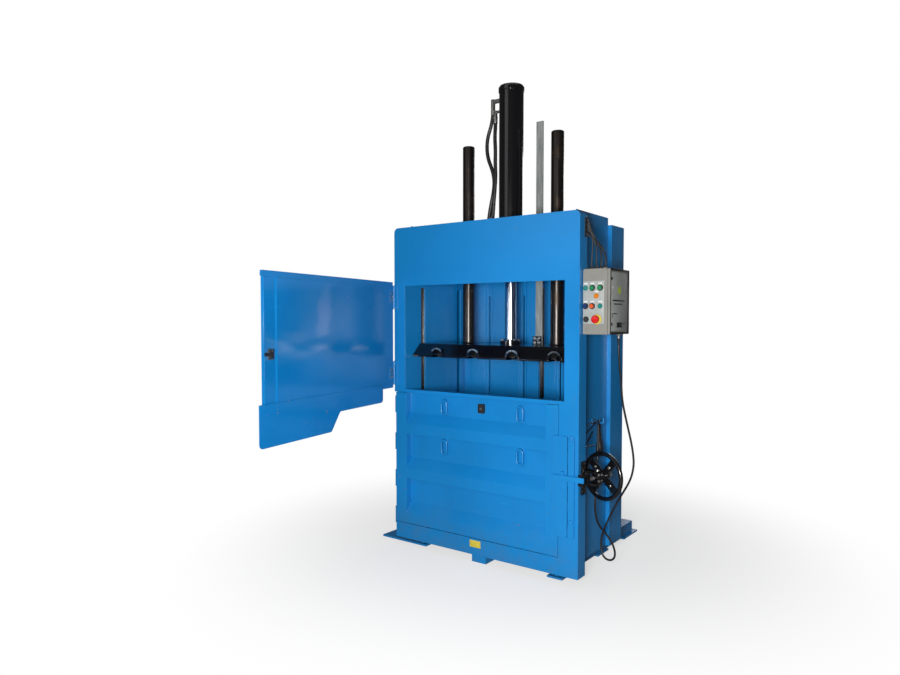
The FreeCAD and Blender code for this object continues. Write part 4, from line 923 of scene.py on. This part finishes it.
# ------------------------------------------------------------------ doors and frame
DOOR_EDGES = (-610.5, 494.5)        # X of the ribbed skin's two edges
RIB_PITCH = 317
HOOK_X, HOOK_Z, HOOK_DROP = 300, 1002, 270     # the upper hooks' centre, and the lower ones' drop
HOOK_HALF = 56                      # half of a hook plate's height
KNUCKLE_X, KNUCKLE_DEPTH, KNUCKLE_PITCH = -724, 30, 266
HOOKS = [(side * HOOK_X, HOOK_Z - drop) for side in (-1, 1) for drop in (0, HOOK_DROP)]


def tie_hooks(bm):
    """Four oval rings on their plates, where the tie wires' ends are held."""
    wide, straight, depth = 22, 26, 26
    for x, z in HOOKS:
        turns = [2 * math.pi * (k + 0.5) / 28 for k in range(28)]
        loop = [(x + wide * math.sin(a), depth,
                 z + wide * math.cos(a) + math.copysign(straight, math.cos(a))) for a in turns]
        tube(bm, loop, 7, closed=True)
        for way in (-1, 1):
            lathe(bm, [(0, 0), (6, 0), (6, 20), (0, 20)], (x, depth, z + way * 46), BACKWARDS, 14)
        block(bm, (x - 20, 45, z - HOOK_HALF), (x + 20, 50, z + HOOK_HALF), 1.2)


def keeper_lugs(bm):
    """Two lugs on the post's front, at the keeper bar's ends."""
    for z in (375, 876):
        block(bm, (666, -17, z), (688, -9, z + 31), 2.0)


beads("door_welds", [((x, 49, low), (x, 49, high)) for x in DOOR_EDGES
                     for low, high in ((946, 1084), (632, 794), (315, 477), (163, 168))],
      body="bale_door")
beads("rib_welds", [((x, d0 - 1, z0 - RIB_PITCH * i), (x, d1 - 1, z1 - RIB_PITCH * i))
                    for x in DOOR_EDGES for i in range(3)
                    for d0, z0, d1, z1 in ((50, 943, 3, 873), (3, 796, 47, 796))],
      body="bale_door", radius=2.4)
beads("lock_plate_welds", [((x, -1, z), (x, -1, z + 50)) for x in (545, 651)
                           for z in range(300, 751, 150)], body="bale_door")
made("tie_hook_rings", "machine_blue", tie_hooks, "bale_door", replaces=("tie_hooks",))
beads("hook_welds", [((x - 20, 46, z + end), (x + 20, 46, z + end)) for x, z in HOOKS
                     for end in (HOOK_HALF, -HOOK_HALF)], body="bale_door", radius=2.4)
heads("buffer_screw", "bare_steel", [((0, 28, 1017), OUT)], 7, 1.5, "bale_door")
heads("knuckle_caps", "bare_steel", [((KNUCKLE_X, KNUCKLE_DEPTH, 255 + KNUCKLE_PITCH * k), UP)
                                     for k in range(4)], 12.5, 5)
beads("knuckle_welds", [((-710, depth, 172 + KNUCKLE_PITCH * k), (-710, depth, 224 + KNUCKLE_PITCH * k))
                        for depth in (24, 37) for k in range(4)], body="bale_door", radius=2.4)
made("keeper_lugs", "machine_blue", keeper_lugs)
made("floor_plate_mark", "yellow_field",
     lambda bm: block(bm, (-66, -1.2, 100), (20, 0.4, 146), 0.5))
heads("floor_plate_rivets", "bare_steel", [((x, -1.2, 123), OUT) for x in (-59, 13)], 3, 1.2)
beads("sill_welds", [((side * 622, 9, 1113), (side * 622, 62, 1113)) for side in (-1, 1)])
bolts("gate_leaf_bolts", [(x, 2, z) for x in (24, 48) for z in (1200, 1225, 1250, 1735, 1760, 1785)],
      BACKWARDS, 9, "bare_steel", "feed_gate", ON_GATE)
heads("gate_pin_heads", "bare_steel", [((*GATE_PIN[:2], z), way) for z, way in
                                       ((1300, UP), (1144, DOWN), (1835, UP), (1679, DOWN))], 7, 5)
heads("latch_screws", "bright_zinc", [((1306, 11, z), BACKWARDS) for z in (1396, 1436)], 5, 2.5,
      "feed_gate", ON_GATE)
beads("skirt_welds", [((x, 1, 1123), (x + 40, 1, 1123)) for x in range(190, 1330, 120)], "gate_blue",
      "feed_gate", ON_GATE, 2.4)

# ------------------------------------------------------------------ back and base
BACK = 760                          # depth of the machine's back
DOG_X = 60                          # X of the fifth channel
CHANNEL_EDGE = 31                   # from a channel's middle to the weld along its edge
POST_X, RAIL_X, RAIL_EDGE = 632, 535, 41
WIRE_ROUTES = ([(714, 97, 962), (714, 180, 966), (714, 270, 970), (714, 180, 938), (714, 97, 908)],
               [(714, 215, 827), (714, 150, 829), (714, 97, 833), (714, 150, 872), (714, 205, 912)])


def wire_hooks(bm):
    """Two bent wires on the rear edge of the frame's fold, ahead of the cord's hook."""
    for route in WIRE_ROUTES:
        tube(bm, rounded(route, 14), 4)


beads("channel_welds", [((x, BACK, z), (x, BACK, z + 55)) for middle in TIE_X + [DOG_X]
                        for x in (middle - CHANNEL_EDGE, middle + CHANNEL_EDGE)
                        for z in range(270, 1800, 210)], radius=2.6)
beads("post_welds", [((x, BACK, z), (x, BACK, z + 60)) for x in (-POST_X, POST_X)
                     for z in range(140, 2100, 240)])
beads("rail_welds", [((x, y, 95), (x, y + 60, 95)) for middle in (-RAIL_X, RAIL_X)
                     for x in (middle - RAIL_EDGE, middle + RAIL_EDGE) for y in (120, 400, 690)])
made("wire_hooks", "black_paint", wire_hooks)
bolts("hook_plate_bolts", [(653, 345, z) for z in (932, 966)], RIGHT, 8, "bare_steel")

# ------------------------------------------------------------------ studio
FLOOR_DROP = 0.0005                 # keeps the floor just under the feet
AIR_ON_MATT, AIR_ON_GLOSS = 0.05, 0.06         # the air's light on matt and in glossy surfaces
FLOOR_LIT, FLOOR_SEEN = 0.30, 0.86             # the floor's paleness to the machine and to the eye
GLOW_NEAR, GLOW_FAR = 0.62, 1.0                # share of plain white under the machine and afar
NEAR, FAR = 0.8, 2.6                           # it grows between these distances, in metres
LAMPS = (                           # place, what it aims at, watts and width in metres
    ("key", (-1.6, -5.8, 3.8), (0.0, -0.5, 1.0), 24.0, 3.0),
    ("flash", (2.1, -4.5, 1.45), (0.0, -0.2, 0.9), 214.0, 0.8),
    ("side", (6.0, 0.8, 3.4), (0.6, -0.2, 1.4), 1.0, 2.4),
    ("back", (-0.2, 5.6, 2.8), (0.0, 0.0, 1.2), 90.0, 2.6),
    ("top", (0.0, -0.5, 6.4), (0.0, -0.3, 1.0), 22.0, 3.6))
EYE = (2.504, -4.322, 1.602)
TILT, HEADING = math.radians(87.8), math.radians(36.13)
LENS, SENSOR, SHIFT = 27.3, 36.0, (-0.008, 0.0092)


def air():
    """White air to the camera, and a faint even light for the machine."""
    world = bpy.data.worlds.new("Studio")
    bpy.context.scene.world = world
    world.use_nodes = True
    air_tree = Tree(world.node_tree)
    background = world.node_tree.nodes["Background"]
    light = air_tree.rays("Glossy") * (AIR_ON_GLOSS - AIR_ON_MATT) + AIR_ON_MATT
    air_tree.feed(background.inputs["Color"], (1.0, 1.0, 1.0))
    air_tree.feed(background.inputs["Strength"], light.math("MAXIMUM", air_tree.seen()))


def floor_finish():
    """Matt floor that shows white to the camera away from the machine and keeps its shadow."""
    f = Finish("floor", (1.0, 1.0, 1.0), 0.9)
    f.set("Specular IOR Level", 0.1)
    f.set("Base Color", f.seen() * (FLOOR_SEEN - FLOOR_LIT) + FLOOR_LIT)
    away = f.node("ShaderNodeVectorMath", {"operation": "LENGTH"}, {0: f.place}, "Value")
    share = away.step(NEAR, FAR) * (GLOW_FAR - GLOW_NEAR) + GLOW_NEAR
    glow = f.node("ShaderNodeEmission", {}, {"Strength": 1.0})
    matt = Val(f, f.shader.outputs[0])
    both = f.node("ShaderNodeMixShader", {}, {0: f.seen() * share, 1: matt, 2: glow})
    f.feed(f.tree.nodes["Material Output"].inputs["Surface"], both)
    return f.material


def studio_floor():
    """A round floor, just under the feet."""
    bm = bmesh.new()
    bmesh.ops.create_circle(bm, cap_ends=True, segments=64, radius=30.0,
                            matrix=Matrix.Translation((0.0, 0.0, -FLOOR_DROP)))
    mesh = bpy.data.meshes.new("floor")
    bm.to_mesh(mesh)
    bm.free()
    mesh.materials.append(floor_finish())
    floor = bpy.data.objects.new("floor", mesh)
    bpy.context.scene.collection.objects.link(floor)


def lamps():
    """Broad soft lamps round the machine and a small flash beside the camera."""
    for name, place, aim, power, size in LAMPS:
        lamp = bpy.data.lights.new(name, "AREA")
        lamp.energy, lamp.size = power, size
        holder = bpy.data.objects.new(name, lamp)
        holder.location = place
        holder.rotation_euler = (Vector(aim) - Vector(place)).to_track_quat("-Z", "Y").to_euler()
        bpy.context.scene.collection.objects.link(holder)


def camera():
    """A camera at eye height, ahead and to the right of the machine."""
    view = bpy.data.cameras.new("view")
    view.sensor_width, view.lens = SENSOR, LENS
    view.shift_x, view.shift_y = SHIFT
    holder = bpy.data.objects.new("view", view)
    holder.location = EYE
    holder.rotation_euler = (TILT, 0.0, HEADING)
    bpy.context.scene.collection.objects.link(holder)
    bpy.context.scene.camera = holder


bpy.context.scene.view_settings.view_transform = "Standard"
air()
studio_floor()
lamps()
camera()
